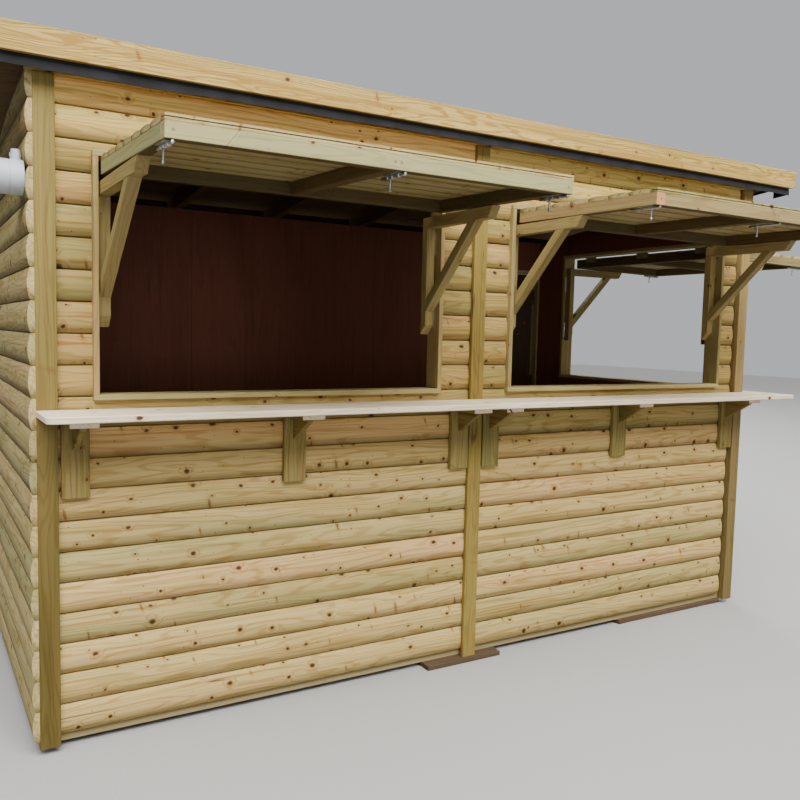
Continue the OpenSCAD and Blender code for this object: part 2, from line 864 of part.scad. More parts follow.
// A round housing with its lid, lid seam and a closed cable gland on top
module power_inlet() {
    seam = 2;
    nut_h = 12;
    neck_h = inlet_gland_h - nut_h;
    color([0.88, 0.89, 0.91])
        at_corner()
            translate([-lap_t, inlet_y, inlet_z]) {
                rotate([0, -90, 0]) {
                    cylinder(h = inlet_base, r = inlet_r, $fn = 64);
                    cylinder(h = inlet_l, r = inlet_r - seam, $fn = 64);
                    translate([0, 0, inlet_base + seam])
                        cylinder(h = inlet_l - inlet_base - seam, r = inlet_r, $fn = 64);
                    translate([0, 0, inlet_l])
                        cylinder(h = 2*seam, r = inlet_r*0.55, $fn = 64);
                }
                translate([-inlet_base/2, 0, 0]) {
                    cylinder(h = inlet_r + neck_h, r = inlet_gland_r - seam, $fn = 32);
                    translate([0, 0, inlet_r + neck_h - nut_h])
                        cylinder(h = nut_h, r = inlet_gland_r, $fn = 6);
                    translate([0, 0, inlet_r + neck_h])
                        cylinder(h = nut_h, r = inlet_gland_r - 2*seam, $fn = 32);
                }
            }
}

packers();
floor_frame();
floor_deck();
front_cladding_left();
front_cladding_right();
right_cladding();
left_cladding();
back_cladding();
wall_framing();
front_lining();
right_lining();
left_lining();
back_lining();
front_left_trim();
front_right_trim();
mid_cover_strip();
back_corner_trims();
opening_liner_left();
opening_liner_right();
opening_liner_side();
door_liner();
roof_joists();
roof_boards();
roof_felt();
front_fascia();
back_fascia();
eave_batten();
hatch_frame_left();
hatch_frame_right();
hatch_frame_side();
hatch_boards_left();
hatch_boards_right();
hatch_boards_side();
gallows_bracket_1();
gallows_bracket_2();
gallows_bracket_3();
gallows_bracket_4();
gallows_bracket_5();
gallows_bracket_6();
butt_hinges();
counter_plank_left();
counter_plank_right();
side_shelf();
counter_brackets();
back_door();
door_hinges();
door_trims();
power_inlet();
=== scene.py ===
import math
import random

import bmesh
import bpy
from mathutils import Matrix, Vector


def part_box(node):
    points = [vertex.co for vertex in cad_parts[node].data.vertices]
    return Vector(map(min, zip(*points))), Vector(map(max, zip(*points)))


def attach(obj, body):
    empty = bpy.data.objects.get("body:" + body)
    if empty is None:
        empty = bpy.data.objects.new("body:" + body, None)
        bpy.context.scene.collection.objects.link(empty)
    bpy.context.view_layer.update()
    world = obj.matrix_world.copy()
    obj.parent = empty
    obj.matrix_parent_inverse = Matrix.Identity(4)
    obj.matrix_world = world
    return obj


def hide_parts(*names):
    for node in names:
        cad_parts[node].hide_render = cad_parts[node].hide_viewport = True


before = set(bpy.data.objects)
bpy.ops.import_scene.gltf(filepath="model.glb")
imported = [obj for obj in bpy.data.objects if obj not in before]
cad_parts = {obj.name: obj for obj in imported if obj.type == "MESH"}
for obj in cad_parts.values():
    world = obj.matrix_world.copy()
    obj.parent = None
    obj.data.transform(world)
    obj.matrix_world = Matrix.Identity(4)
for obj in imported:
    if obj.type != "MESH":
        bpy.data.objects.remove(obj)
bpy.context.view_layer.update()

MM = 0.001

# Body and boards, in metres
BODY_W = 3.766
BODY_D = 1.829
EAVE_Z = 2.406
ROOF_FALL = 0.108
TRIM_T = 0.020
LAP_T = 0.024
LAP_COVER = 0.112
LAP_ROUND = 0.010
LAP_LIPS = (0.012, 0.0024)
CEILING_COVER = 0.112
LINER_T = 0.020
EASE = 0.0015
EASE_MORE = 0.002
EASE_JOINT = 0.0025
EASE_WORN = 0.003
SMOOTH = 30
SMOOTH_BOARDS = 40

# Hatches and their gallows brackets
HATCH_BOARD_T = 0.018
HATCH_ROUND = 0.005
HATCH_LIPS = (0.004, 0.002, 0.003)
HATCH_DROOP = {"left": math.radians(1.8), "right": math.radians(0.8), "side": math.radians(0.9)}
HATCH_GAP = 0.005
HATCH_BACK_Y = -0.014
HATCH_RAIL_H = 0.048
HATCH_RAIL_W = 0.045
HATCH_EDGE_IN = 0.0002
EDGE_GROOVE = 0.0016
SPLIT_X = 0.17
SPLIT_SLOPE = 0.8
ARM_H = 0.048
BRACKET_T = 0.040
ARM_END_CUT = 0.033
BRACE_END = 0.168
BRACE_DROP = 0.308
POST_CUT = 0.042

# Counter and its brackets
COUNTER_CLIP_LEFT = 0.018
COUNTER_CLIP_RIGHT = 0.005
CB_BACK_T = 0.022
CB_TOP_T = 0.023
CB_TOP_D = 0.178
GUSSET_T = 0.022
GUSSET_D = 0.152
GUSSET_H = 0.098
GUSSET_NOSE = 0.008

# Back door
DOOR_BOARD_W = 0.095
DOOR_BOARD_T = 0.020
LEDGE_H = 0.110
MID_LEDGE_Z = 1.240

# Felt: each wave of its torn edge has its pitch, start and height
FELT_LAPS = (0.62, 1.26)
FELT_LAP_D = 0.09
FELT_LAP_T = 0.003
LAP_INSET = 0.004
FELT_DRIP = 0.032
FELT_EDGE_H = 0.022
FELT_TEAR = 0.009
FELT_WAVES = ((3.1, 0, 1.0), (7.7, 1, 0.7), (17.3, 2, 0.5))

# Ironmongery
BOLT_IN = 0.022
BOLT_OFF = 0.028
BOLT_R = 0.0055
BOLT_PLATE = (0.034, 0.095, 0.002)
BOLT_PLATE_Y = 0.030
BOLT_LENGTH = 0.150
BOLT_COLLARS = (0.034, 0.074, 0.104)
BOLT_COLLAR_L = 0.016
BOLT_DROP = 0.040
BOLT_HANDLE_R = 0.0035
BOLT_KNOB_R = 0.0055
BOLT_KNOB_L = 0.010
BOLT_HANDLES = {"left": (0.097, 0.097, 0.097), "right": (0.044, 0.112, 0.097), "side": (0.097, 0.097, 0.097)}
PLATE_EASE = 0.0008
HEAD_T = 0.0012
HEAD_IN = 0.0005
SCREW_R = 0.0042
NAIL_R = 0.0030
NAIL_INSET = 0.014
NAIL_FOOT = 0.07
NAIL_TOP = 0.05
COUNTER_NAIL_GAP = (1.18, 1.28)

random.seed(11)


# Selection and mesh tools

def deselect_all():
    bpy.ops.object.select_all(action="DESELECT")


def make_active(piece):
    deselect_all()
    piece.select_set(True)
    bpy.context.view_layer.objects.active = piece


def at(x, y, z):
    """A place that is moved from the origin and not turned."""
    return Matrix.Translation((x, y, z))


def settle():
    """Puts the selected piece's place, turn and scale into its mesh."""
    bpy.ops.object.transform_apply(location=True, rotation=True, scale=True)


def move(piece, place):
    piece.matrix_world = place
    make_active(piece)
    settle()


def copy_of(piece):
    twin = piece.copy()
    twin.data = piece.data.copy()
    bpy.context.scene.collection.objects.link(twin)
    return twin


def join(name, parts):
    deselect_all()
    for part in parts:
        part.select_set(True)
    bpy.context.view_layer.objects.active = parts[0]
    if len(parts) > 1:
        bpy.ops.object.join()
    piece = bpy.context.view_layer.objects.active
    piece.name = name
    piece.data.name = name
    return piece


def block(size, centre):
    bpy.ops.mesh.primitive_cube_add(size=1, location=centre)
    piece = bpy.context.object
    piece.scale = size
    settle()
    return piece


def round_bar(radius, length, centre, sides, turn=(0, 0, 0)):
    bpy.ops.mesh.primitive_cylinder_add(vertices=sides, radius=radius, depth=length,
        location=centre, rotation=turn)
    settle()
    return bpy.context.object


def open_edit(piece, kind="VERT", chosen=None):
    """Opens the piece in edit mode with all selected, or only the edges or faces that the test picks."""
    make_active(piece)
    bpy.ops.object.mode_set(mode="EDIT")
    bpy.ops.mesh.select_mode(type=kind)
    bpy.ops.mesh.select_all(action="DESELECT" if chosen else "SELECT")
    if chosen:
        mesh = bmesh.from_edit_mesh(piece.data)
        for item in mesh.edges if kind == "EDGE" else mesh.faces:
            item.select_set(chosen(item))
        bmesh.update_edit_mesh(piece.data)


def close_edit():
    bpy.ops.mesh.select_mode(type="VERT")
    bpy.ops.object.mode_set(mode="OBJECT")


def slice_off(piece, point, normal):
    """Cuts the piece by a plane, takes away what lies on the normal's side, and closes the cut."""
    open_edit(piece)
    bpy.ops.mesh.bisect(plane_co=point, plane_no=normal, use_fill=True, clear_outer=True)
    close_edit()


def bevel_edges(piece, width, chosen=None, segments=1):
    """Rounds the edges that the test picks, or all of them."""
    open_edit(piece, "EDGE", chosen)
    bpy.ops.mesh.bevel(offset=width, segments=segments, affect="EDGES")
    close_edit()


def random_shift():
    """A place in a log far away, so that no two timbers show the same grain."""
    return Vector((random.uniform(-40, 40), random.uniform(-0.03, 0.03), random.uniform(-20, 20)))


def mark_timber(piece, tint=None, shift=None, order=(0, 1, 2)):
    """Keeps each point's place in its own timber, x along the grain, so that the grain follows it."""
    if shift is None:
        shift = random_shift()
    value = random.random() if tint is None else tint
    mesh = piece.data
    mesh.attributes.new("timber_place", "FLOAT_VECTOR", "POINT")
    mesh.attributes.new("timber_tint", "FLOAT", "POINT")
    place = mesh.attributes["timber_place"].data
    shade = mesh.attributes["timber_tint"].data
    for vert in mesh.vertices:
        place[vert.index].vector = Vector([vert.co[i] for i in order]) + shift
        shade[vert.index].value = value


def mark_rise(board):
    """Keeps how far up its own board each point is, from 0 at the lower lip to 1 at the upper one, for the
    painted shade over each board's lower part and lip.
    """
    board.data.attributes.new("board_rise", "FLOAT", "POINT")
    rise = board.data.attributes["board_rise"].data
    for vert in board.data.vertices:
        rise[vert.index].value = vert.co.z/LAP_COVER


def finish_piece(name, parts, node, material, smooth=SMOOTH):
    """Joins the parts under a name, with a first material, and replaces a CAD node where one is given."""
    piece = join(name, parts)
    make_active(piece)
    bpy.ops.object.shade_smooth_by_angle(angle=math.radians(smooth))
    piece.data.materials.clear()
    piece.data.materials.append(material)
    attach(piece, "root")
    if node:
        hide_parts(node)
    return piece


def paint_faces(piece, choose, *materials):
    """Adds materials after the piece's first one, and gives each face the one that the test numbers."""
    for material in materials:
        piece.data.materials.append(material)
    for face in piece.data.polygons:
        face.material_index = choose(face)


# Timbers

def timber(length, depth, height, place, tint=None, edge=EASE, cuts=()):
    """A planed timber along x from the origin, with eased edges, then moved to its place."""
    piece = block((length, depth, height), (length/2, depth/2, height/2))
    for point, normal in cuts:
        slice_off(piece, point, normal)
    bevel_edges(piece, edge)
    mark_timber(piece, tint)
    move(piece, place)
    return piece


def timber_between(low, high, tint=None, edge=EASE, cuts=()):
    """A timber that fills a box, with its grain along the longest side."""
    size = Vector(high) - Vector(low)
    axis = max(range(3), key=lambda i: size[i])
    others = [(axis + 1) % 3, (axis + 2) % 3]
    turn = Matrix.Identity(4)
    for column, source in enumerate([axis] + others):
        for row in range(3):
            turn[row][column] = 1.0 if row == source else 0.0
    place = Matrix.Translation(Vector(low)) @ turn
    back = place.inverted()
    local_cuts = [(back @ Vector(point), back.to_3x3() @ Vector(normal)) for point, normal in cuts]
    return timber(size[axis], size[others[0]], size[others[1]], place, tint, edge, local_cuts)


def timber_in(place, low, high, edge=EASE_MORE, cuts=()):
    """A timber that fills a box in a wall's own place."""
    piece = timber_between(low, high, None, edge, cuts)
    move(piece, place)
    return piece


def log_board(thick, rise, length, lower_lip, upper_lip, back_lip=None):
    """One log-lap board along x: a slice off a long cylinder, its lower lip round and its upper one eased."""
    radius = (LAP_COVER**2/4 + rise**2)/(2*rise)
    board = round_bar(radius, length, (length/2, radius, LAP_COVER/2), 160, (0, math.pi/2, 0))
    slice_off(board, (0, thick, 0), (0, 1, 0))
    slice_off(board, (0, 0, 0), (0, 0, -1))
    slice_off(board, (0, 0, LAP_COVER), (0, 0, 1))

    def lip(z, behind):
        return lambda edge: all(abs(vert.co.z - z) < 1e-4 and (vert.co.y > thick - 1e-4) == behind
            for vert in edge.verts) and abs(edge.verts[0].co.x - edge.verts[1].co.x) > length/2

    bevel_edges(board, lower_lip, lip(0, False), segments=5)
    bevel_edges(board, upper_lip, lip(LAP_COVER, False), segments=2)
    if back_lip:
        bevel_edges(board, back_lip, lip(0, True))
        bevel_edges(board, back_lip, lip(LAP_COVER, True))
    return board


def row_spans(low, high, x0, x1, holes):
    """What the holes leave of one row of boards: each length, and the height it is cut down to or up to."""
    spans = [(x0, x1, None, None)]
    for hole_x0, hole_x1, hole_z0, hole_z1 in holes:
        if hole_z1 <= low or hole_z0 >= high:
            continue
        left = []
        for a, b, top, bottom in spans:
            if a < hole_x0:
                left.append((a, min(b, hole_x0), top, bottom))
            if b > hole_x1:
                left.append((max(a, hole_x1), b, top, bottom))
            if a < hole_x1 and b > hole_x0:
                inner = (max(a, hole_x0), min(b, hole_x1))
                if hole_z0 > low + MM:
                    left.append((*inner, hole_z0 - low, None))
                if hole_z1 < high - MM:
                    left.append((*inner, None, hole_z1 - low))
        spans = left
    return spans


def lay_boards(model, rows, x0, x1, holes, place, z0):
    """Log-lap boards from x0 to x1, row on row, cut round the holes given as (x0, x1, z0, z1)."""
    laid = []
    for row in range(rows):
        low = z0 + row*LAP_COVER
        tint = random.random()
        shift = random_shift()
        for a, b, top, bottom in row_spans(low, z0 + (row + 1)*LAP_COVER, x0, x1, holes):
            board = copy_of(model)
            if a > x0:
                slice_off(board, (a - x0, 0, 0), (-1, 0, 0))
            if b < x1:
                slice_off(board, (b - x0, 0, 0), (1, 0, 0))
            if top is not None:
                slice_off(board, (0, 0, top), (0, 0, 1))
            if bottom is not None:
                slice_off(board, (0, 0, bottom), (0, 0, -1))
            mark_timber(board, tint, shift)
            mark_rise(board)
            move(board, place @ at(x0, 0, low))
            laid.append(board)
    return laid


# Shader tools

def new_group(name, inputs, outputs):
    group = bpy.data.node_groups.new(name, "ShaderNodeTree")
    for title, kind, value in inputs:
        socket = group.interface.new_socket(name=title, in_out="INPUT", socket_type="NodeSocket" + kind)
        if value is not None:
            socket.default_value = value
    for title, kind in outputs:
        group.interface.new_socket(name=title, in_out="OUTPUT", socket_type="NodeSocket" + kind)
    return group, group.nodes.new("NodeGroupInput"), group.nodes.new("NodeGroupOutput")


class Net:
    """Short forms for adding and linking shader nodes in one tree."""

    def __init__(self, tree):
        self.tree = tree

    def node(self, kind, **settings):
        made = self.tree.nodes.new("ShaderNode" + kind)
        for key, value in settings.items():
            setattr(made, key, value)
        return made

    def link(self, source, target):
        self.tree.links.new(source, target)

    def feed(self, target, value):
        if isinstance(value, bpy.types.NodeSocket):
            self.link(value, target)
        else:
            target.default_value = value

    def math(self, operation, *values):
        made = self.node("Math", operation=operation)
        for socket, value in zip(made.inputs, values):
            self.feed(socket, value)
        return made.outputs[0]

    def plus(self, first, second):
        return self.math("ADD", first, second)

    def minus(self, first, second):
        return self.math("SUBTRACT", first, second)

    def times(self, first, second):
        return self.math("MULTIPLY", first, second)

    def noise(self, vector, scales, detail=3, roughness=0.5):
        """Noise with a scale of its own along each axis."""
        scaled = self.node("VectorMath", operation="MULTIPLY")
        self.link(vector, scaled.inputs[0])
        scaled.inputs[1].default_value = scales
        made = self.node("TexNoise")
        self.link(scaled.outputs[0], made.inputs["Vector"])
        made.inputs["Scale"].default_value = 1.0
        made.inputs["Detail"].default_value = detail
        made.inputs["Roughness"].default_value = roughness
        return made.outputs["Fac"]

    def step(self, value, low, high, to_low=0.0, to_high=1.0):
        """A soft step: one number at low, the other at high, and a smooth curve between."""
        made = self.node("MapRange", interpolation_type="SMOOTHSTEP")
        for socket, item in zip(made.inputs, (value, low, high, to_low, to_high)):
            self.feed(socket, item)
        return made.outputs["Result"]

    def mix(self, amount, first, second, blend="MIX"):
        made = self.node("Mix", data_type="RGBA", blend_type=blend)
        self.feed(made.inputs["Factor"], amount)
        colour_inputs = [item for item in made.inputs if item.type == "RGBA"]
        self.feed(colour_inputs[0], first)
        self.feed(colour_inputs[1], second)
        return [item for item in made.outputs if item.type == "RGBA"][0]

    def toned(self, colour, tone):
        """A colour multiplied channel by channel."""
        return self.mix(1.0, colour, (*tone, 1), "MULTIPLY")

    def bumps(self, shader, height, distance, strength):
        made = self.node("Bump")
        made.inputs["Distance"].default_value = distance
        made.inputs["Strength"].default_value = strength
        self.link(height, made.inputs["Height"])
        self.link(made.outputs["Normal"], shader.inputs["Normal"])


def new_material(name):
    material = bpy.data.materials.new(name)
    material.use_nodes = True
    return material, Net(material.node_tree), material.node_tree.nodes["Principled BSDF"]


def grain_group():
    """Softwood: growth rings, fine fibres, knots and board-to-board colour, from a timber's own place."""
    group, given, out = new_group("softwood_grain", [
        ("Place", "Vector", None), ("Tint", "Float", 0.5),
        ("Pale", "Color", (0.8, 0.7, 0.5, 1)), ("Warm", "Color", (0.7, 0.5, 0.35, 1)),
        ("Green", "Color", (0.6, 0.6, 0.4, 1)), ("Knot", "Color", (0.12, 0.05, 0.02, 1)),
        ("Knots", "Float", 0.5), ("Grain", "Float", 0.5), ("Rings", "Float", 1.0)],
        [("Color", "Color"), ("Roughness", "Float"), ("Height", "Float")])
    net = Net(group)
    place, tint = given.outputs["Place"], given.outputs["Tint"]
    knots, knot_colour = given.outputs["Knots"], given.outputs["Knot"]
    axes = net.node("SeparateXYZ")
    net.link(place, axes.inputs[0])
    along, inward, upward = axes.outputs["X"], axes.outputs["Y"], axes.outputs["Z"]
    across = net.plus(upward, inward)
    wander = net.minus(net.noise(place, (45, 75, 75)), 0.5)

    def spots(cells_along, cells_across, lean, share, small, large):
        """Marks in some cells of a loose net, as three masks: the mark, the wood round it, and its heart."""
        flat = net.node("CombineXYZ")
        net.link(net.times(net.plus(along, net.times(across, lean)), cells_along), flat.inputs["X"])
        net.link(net.times(across, cells_across), flat.inputs["Y"])
        cells = net.node("TexVoronoi", voronoi_dimensions="2D")
        net.link(flat.outputs[0], cells.inputs["Vector"])
        cells.inputs["Scale"].default_value = 1.0
        lot = net.node("SeparateColor")
        net.link(cells.outputs["Color"], lot.inputs[0])
        chosen = net.math("LESS_THAN", lot.outputs[0], share)
        size = net.plus(small, net.times(net.math("POWER", lot.outputs[1], 2.0), large - small))
        reach = net.plus(cells.outputs["Distance"], net.times(wander, small*2.0))

        def within(near, far):
            return net.times(net.step(reach, net.times(size, near), net.times(size, far), 1.0, 0.0), chosen)

        return within(0.55, 1.0), within(0.7, 2.8), within(0.3, 0.8)

    knot, halo, heart = spots(8.6, 11.0, 0.0, net.times(knots, 0.65), 0.055, 0.15)
    pin, _, _ = spots(24.0, 27.0, 0.0, net.times(knots, 0.16), 0.05, 0.10)
    spike, spike_halo, _ = spots(19.0, 6.0, 0.25, net.times(knots, 0.13), 0.07, 0.15)

    # Growth rings: bands across a slowly wandering distance from the pith, parted round the knots
    bands = net.plus(net.times(upward, 60.0), net.times(inward, 95.0))
    bands = net.plus(bands, net.times(net.noise(place, (0.9, 9, 9), 2), 26.0))
    bands = net.plus(bands, net.times(net.noise(place, (4, 30, 30), 2), 3.0))
    bands = net.plus(bands, net.times(halo, 2.2))
    bands = net.times(bands, given.outputs["Rings"])
    late = net.step(net.math("SINE", net.times(bands, 3.1)), 0.15, 0.95)
    fibre = net.noise(place, (14, 520, 520), 3, 0.6)
    streak = net.noise(place, (1.4, 80, 80), 3, 0.55)
    blotch = net.noise(place, (1.8, 20, 20), 2)
    stain = net.noise(place, (1.1, 5, 5))

    # Colour: pale to warm or green, darker in the late rings, streaks and stains
    hue = net.plus(net.plus(0.08, net.times(tint, 0.85)), net.times(net.minus(blotch, 0.5), 1.7))
    base = net.mix(net.step(hue, 0.55, 1.15), given.outputs["Pale"], given.outputs["Warm"])
    base = net.mix(net.step(hue, 0.45, -0.15, 0.0, 0.9), base, given.outputs["Green"])
    depth = net.plus(net.times(late, 0.42), net.step(streak, 0.40, 0.78, 0.0, 0.60))
    depth = net.times(depth, given.outputs["Grain"])
    depth = net.plus(depth, net.times(net.step(fibre, 0.45, 0.75), 0.14))
    wood = net.mix(depth, base, net.toned(base, (0.66, 0.55, 0.36)))
    wood = net.mix(net.step(stain, 0.50, 0.72, 0.0, 0.7), wood, net.toned(wood, (0.80, 0.79, 0.62)))
    brightness = net.node("HueSaturation")
    net.link(wood, brightness.inputs["Color"])
    net.link(net.plus(net.times(net.minus(tint, 0.5), 0.20), 1.0), brightness.inputs["Value"])
    wood = brightness.outputs["Color"]

    # Drying cracks: thin lines where a slow noise crosses its middle, in a few places
    level = net.math("ABSOLUTE", net.minus(net.noise(place, (0.5, 18, 18), 1), 0.5))
    cracked = net.step(net.noise(place, (1.1, 6, 6), 1), 0.60, 0.66)
    crack = net.times(net.step(level, 0.002, 0.007, 1.0, 0.0), cracked)

    # Knots, spikes, pin knots and cracks on top
    ring_brown = net.toned(knot_colour, (3.2, 2.5, 1.9))
    faint = net.math("MAXIMUM", net.times(halo, 0.38), net.times(spike_halo, 0.4))
    wood = net.mix(faint, wood, net.toned(wood, (0.80, 0.60, 0.42)))
    wood = net.mix(net.times(spike, 0.7), wood, ring_brown)
    wood = net.mix(net.times(knot, 0.85), wood, ring_brown)
    wood = net.mix(net.math("MAXIMUM", heart, net.times(pin, 0.7)), wood, knot_colour)
    wood = net.mix(net.times(crack, 0.8), wood, (0.10, 0.06, 0.03, 1))
    net.link(wood, out.inputs["Color"])
    rough = net.plus(0.62, net.times(fibre, 0.2))
    net.link(net.minus(rough, net.times(knot, 0.18)), out.inputs["Roughness"])
    height = net.plus(net.times(late, 0.35), net.times(fibre, 0.5))
    height = net.minus(height, net.times(crack, 1.5))
    net.link(net.minus(height, net.times(knot, 0.6)), out.inputs["Height"])
    return group


# Materials. Some change tone over a height: darker at the foot, with painted shade above the counter and
# painted light under the roof

GRAIN = grain_group()
FOOT_ZONE = (1.9, 0.3)
# Painted shade: the front boards darker above the counter, where the hatches shade them
PAINTED_SHADE_ZONE = (1.0, 1.3)
# Painted light: the top boards under the roof made far lighter, for light that the roof's overhang keeps off
PAINTED_LIGHT_ZONE = (2.13, 2.29)
KNOT_BROWN = (0.10, 0.045, 0.02)
KNOT_DARK = (0.060, 0.036, 0.012)
WOOD_BUMP = 0.0012
PANEL_W = 1.22


def wood_material(name, pale, warm, green, knot=KNOT_BROWN, knots=0.5, grain=0.5, rings=1.0, foot=None,
        middle=None, head=None, lap=False, solid=False, panels=False):
    """A finish of softwood. For solids that stay it reads Object coordinates, upright where it has panels."""
    material, net, shader = new_material(name)
    wood = net.node("Group")
    wood.node_tree = GRAIN
    if solid or foot or middle or head:
        coordinates = net.node("TexCoord").outputs["Object"]
        axes = net.node("SeparateXYZ")
        net.link(coordinates, axes.inputs[0])
    if panels:
        turned = net.node("CombineXYZ")
        for source, target in zip(("Z", "X", "Y"), ("X", "Y", "Z")):
            net.link(axes.outputs[source], turned.inputs[target])
        coordinates = turned.outputs[0]
    if solid:
        net.link(coordinates, wood.inputs["Place"])
    else:
        place = net.node("Attribute", attribute_name="timber_place")
        tint = net.node("Attribute", attribute_name="timber_tint")
        net.link(place.outputs["Vector"], wood.inputs["Place"])
        net.link(tint.outputs["Fac"], wood.inputs["Tint"])
    for title, colour in (("Pale", pale), ("Warm", warm), ("Green", green), ("Knot", knot)):
        wood.inputs[title].default_value = (*colour, 1)
    for title, value in (("Knots", knots), ("Grain", grain), ("Rings", rings)):
        wood.inputs[title].default_value = value
    colour, height = wood.outputs["Color"], wood.outputs["Height"]
    # Painted shade: each board darker over its lower part and darkest at its lower lip, as light falls off on
    # its round face and into the joint
    if lap:
        rise = net.node("Attribute", attribute_name="board_rise").outputs["Fac"]
        lower = net.mix(net.step(rise, 0.0, 0.42, 1.0, 0.0), (1, 1, 1, 1), (0.44, 0.43, 0.39, 1))
        lip = net.mix(net.step(rise, 0.01, 0.07, 1.0, 0.0), lower, (0.32, 0.27, 0.19, 1))
        colour = net.mix(1.0, colour, lip, "MULTIPLY")
    # The middle tone is painted shade of the hatches, the head tone is painted light under the roof
    for tone, (start, end) in ((foot, FOOT_ZONE), (middle, PAINTED_SHADE_ZONE), (head, PAINTED_LIGHT_ZONE)):
        if tone:
            colour = net.mix(net.step(axes.outputs["Z"], start, end), colour, net.toned(colour, tone))
    if panels:
        from_joint = net.math("PINGPONG", net.plus(axes.outputs["X"], axes.outputs["Y"]), PANEL_W/2)
        joint = net.step(from_joint, 0.0015, 0.0035, 1.0, 0.0)
        colour = net.mix(net.times(joint, 0.35), colour, (0.012, 0.006, 0.004, 1))
        height = net.minus(height, net.times(joint, 2.0))
    net.link(colour, shader.inputs["Base Color"])
    net.link(wood.outputs["Roughness"], shader.inputs["Roughness"])
    net.bumps(shader, height, WOOD_BUMP, 0.6)
    shader.inputs["Specular IOR Level"].default_value = 0.3
    return material


def plain_material(name, colour, roughness, metallic=0.0, mottling=0.2, scale=60):
    """Felt, metal or plastic, with a slow and a fine mottling of its own scale."""
    material, net, shader = new_material(name)
    coordinates = net.node("TexCoord").outputs["Object"]
    slow = net.noise(coordinates, (scale/12,)*3)
    fine = net.noise(coordinates, (scale*8,)*3, 2)
    amount = net.plus(net.times(slow, 0.6), net.times(fine, 0.4))
    light = tuple(min(1, c*(1 + mottling)) for c in colour)
    dark = tuple(c*(1 - mottling) for c in colour)
    net.link(net.mix(net.step(amount, 0.35, 0.65), (*dark, 1), (*light, 1)), shader.inputs["Base Color"])
    net.link(net.plus(roughness, net.times(net.minus(fine, 0.5), 0.2)), shader.inputs["Roughness"])
    shader.inputs["Metallic"].default_value = metallic
    net.bumps(shader, fine, 0.0006, 0.5)
    return material


BOARDS = wood_material("treated_boards", (0.58, 0.48, 0.225), (0.60, 0.445, 0.23), (0.49, 0.46, 0.22),
    knot=KNOT_DARK, knots=0.9, grain=1.15, lap=True)
# The front boards' middle tone is painted shade above the counter, their head tone is painted light under the
# roof
FRONT_BOARDS = wood_material("front_boards", (0.66, 0.49, 0.195), (0.69, 0.455, 0.205), (0.53, 0.455, 0.18),
    knot=KNOT_DARK, knots=0.95, grain=1.15, lap=True, middle=(0.72, 0.70, 0.58), head=(2.05, 2.05, 2.0))
TRIM = wood_material("treated_trim", (0.31, 0.23, 0.055), (0.32, 0.21, 0.055), (0.25, 0.205, 0.044),
    knots=0.12, grain=0.9)
CORNER_WOOD = wood_material("corner_trim_timber", (0.33, 0.245, 0.07), (0.34, 0.225, 0.07),
    (0.27, 0.22, 0.06), knots=0.12, grain=0.9, foot=(0.53, 0.50, 0.40))
RIGHT_CORNER_WOOD = wood_material("right_corner_timber", (0.42, 0.29, 0.115), (0.43, 0.27, 0.11),
    (0.36, 0.27, 0.10), knots=0.12, grain=0.9, foot=(0.60, 0.62, 0.55))
RAIL_WOOD = wood_material("hatch_rail_timber", (0.46, 0.435, 0.205), (0.46, 0.39, 0.18), (0.40, 0.415, 0.20),
    knots=0.12, grain=0.55)
TAN_RAIL_WOOD = wood_material("tan_rail_timber", (0.37, 0.285, 0.125), (0.385, 0.27, 0.12),
    (0.32, 0.275, 0.12), knots=0.4, grain=0.9)
HATCH_WOOD = wood_material("hatch_timber", (0.38, 0.30, 0.12), (0.385, 0.275, 0.11), (0.32, 0.28, 0.11),
    knots=0.25, grain=0.8)
FASCIA_WOOD = wood_material("fascia_timber", (0.68, 0.485, 0.155), (0.66, 0.44, 0.135), (0.58, 0.455, 0.15),
    knot=(0.08, 0.045, 0.015), knots=0.3, grain=2.1, rings=1.9)
# Painted shade: a dark wood for the inner and down-facing faces of the hatches
HATCH_SHADE_WOOD = wood_material("hatch_underside_painted_shade", (0.135, 0.098, 0.038), (0.145, 0.096, 0.038),
    (0.115, 0.094, 0.034), knots=0.3, grain=0.7)
# Painted shade: near-black faces that tilt downwards in the hatch boards' joints
GROOVE_SHADE_WOOD = wood_material("tongue_and_groove_painted_shade", (0.05, 0.035, 0.013), (0.05, 0.035, 0.013),
    (0.04, 0.035, 0.013), knots=0.0)
END_GRAIN = wood_material("end_grain", (0.62, 0.33, 0.14), (0.62, 0.33, 0.14), (0.58, 0.34, 0.15),
    knots=0.0, grain=0.8)
COUNTER_WOOD = wood_material("counter_timber", (0.98, 0.86, 0.65), (0.98, 0.79, 0.59), (0.95, 0.84, 0.63),
    knots=0.15, grain=0.6)
LINER_WOOD = wood_material("opening_liner_timber", (0.50, 0.41, 0.19), (0.50, 0.37, 0.17),
    (0.42, 0.37, 0.16), knots=0.1, grain=0.6)
JAMB_WOOD = wood_material("opening_jamb_timber", (0.39, 0.30, 0.12), (0.40, 0.275, 0.11),
    (0.33, 0.275, 0.105), knots=0.1, grain=0.7)
BRACKET_WOOD = wood_material("counter_bracket_timber", (0.31, 0.245, 0.08), (0.31, 0.225, 0.078),
    (0.26, 0.225, 0.075), knots=0.15, grain=1.1)
PACKER_WOOD = wood_material("packer_timber", (0.115, 0.078, 0.046), (0.125, 0.076, 0.046),
    (0.10, 0.074, 0.04), knots=0.1, grain=0.9)
INNER_WOOD = wood_material("inner_timber", (0.20, 0.135, 0.055), (0.22, 0.14, 0.06), (0.17, 0.13, 0.05),
    knots=0.2, grain=0.6)
CEILING_WOOD = wood_material("ceiling_boards", (0.19, 0.125, 0.055), (0.20, 0.12, 0.055),
    (0.16, 0.115, 0.045), knots=0.4, grain=0.6)
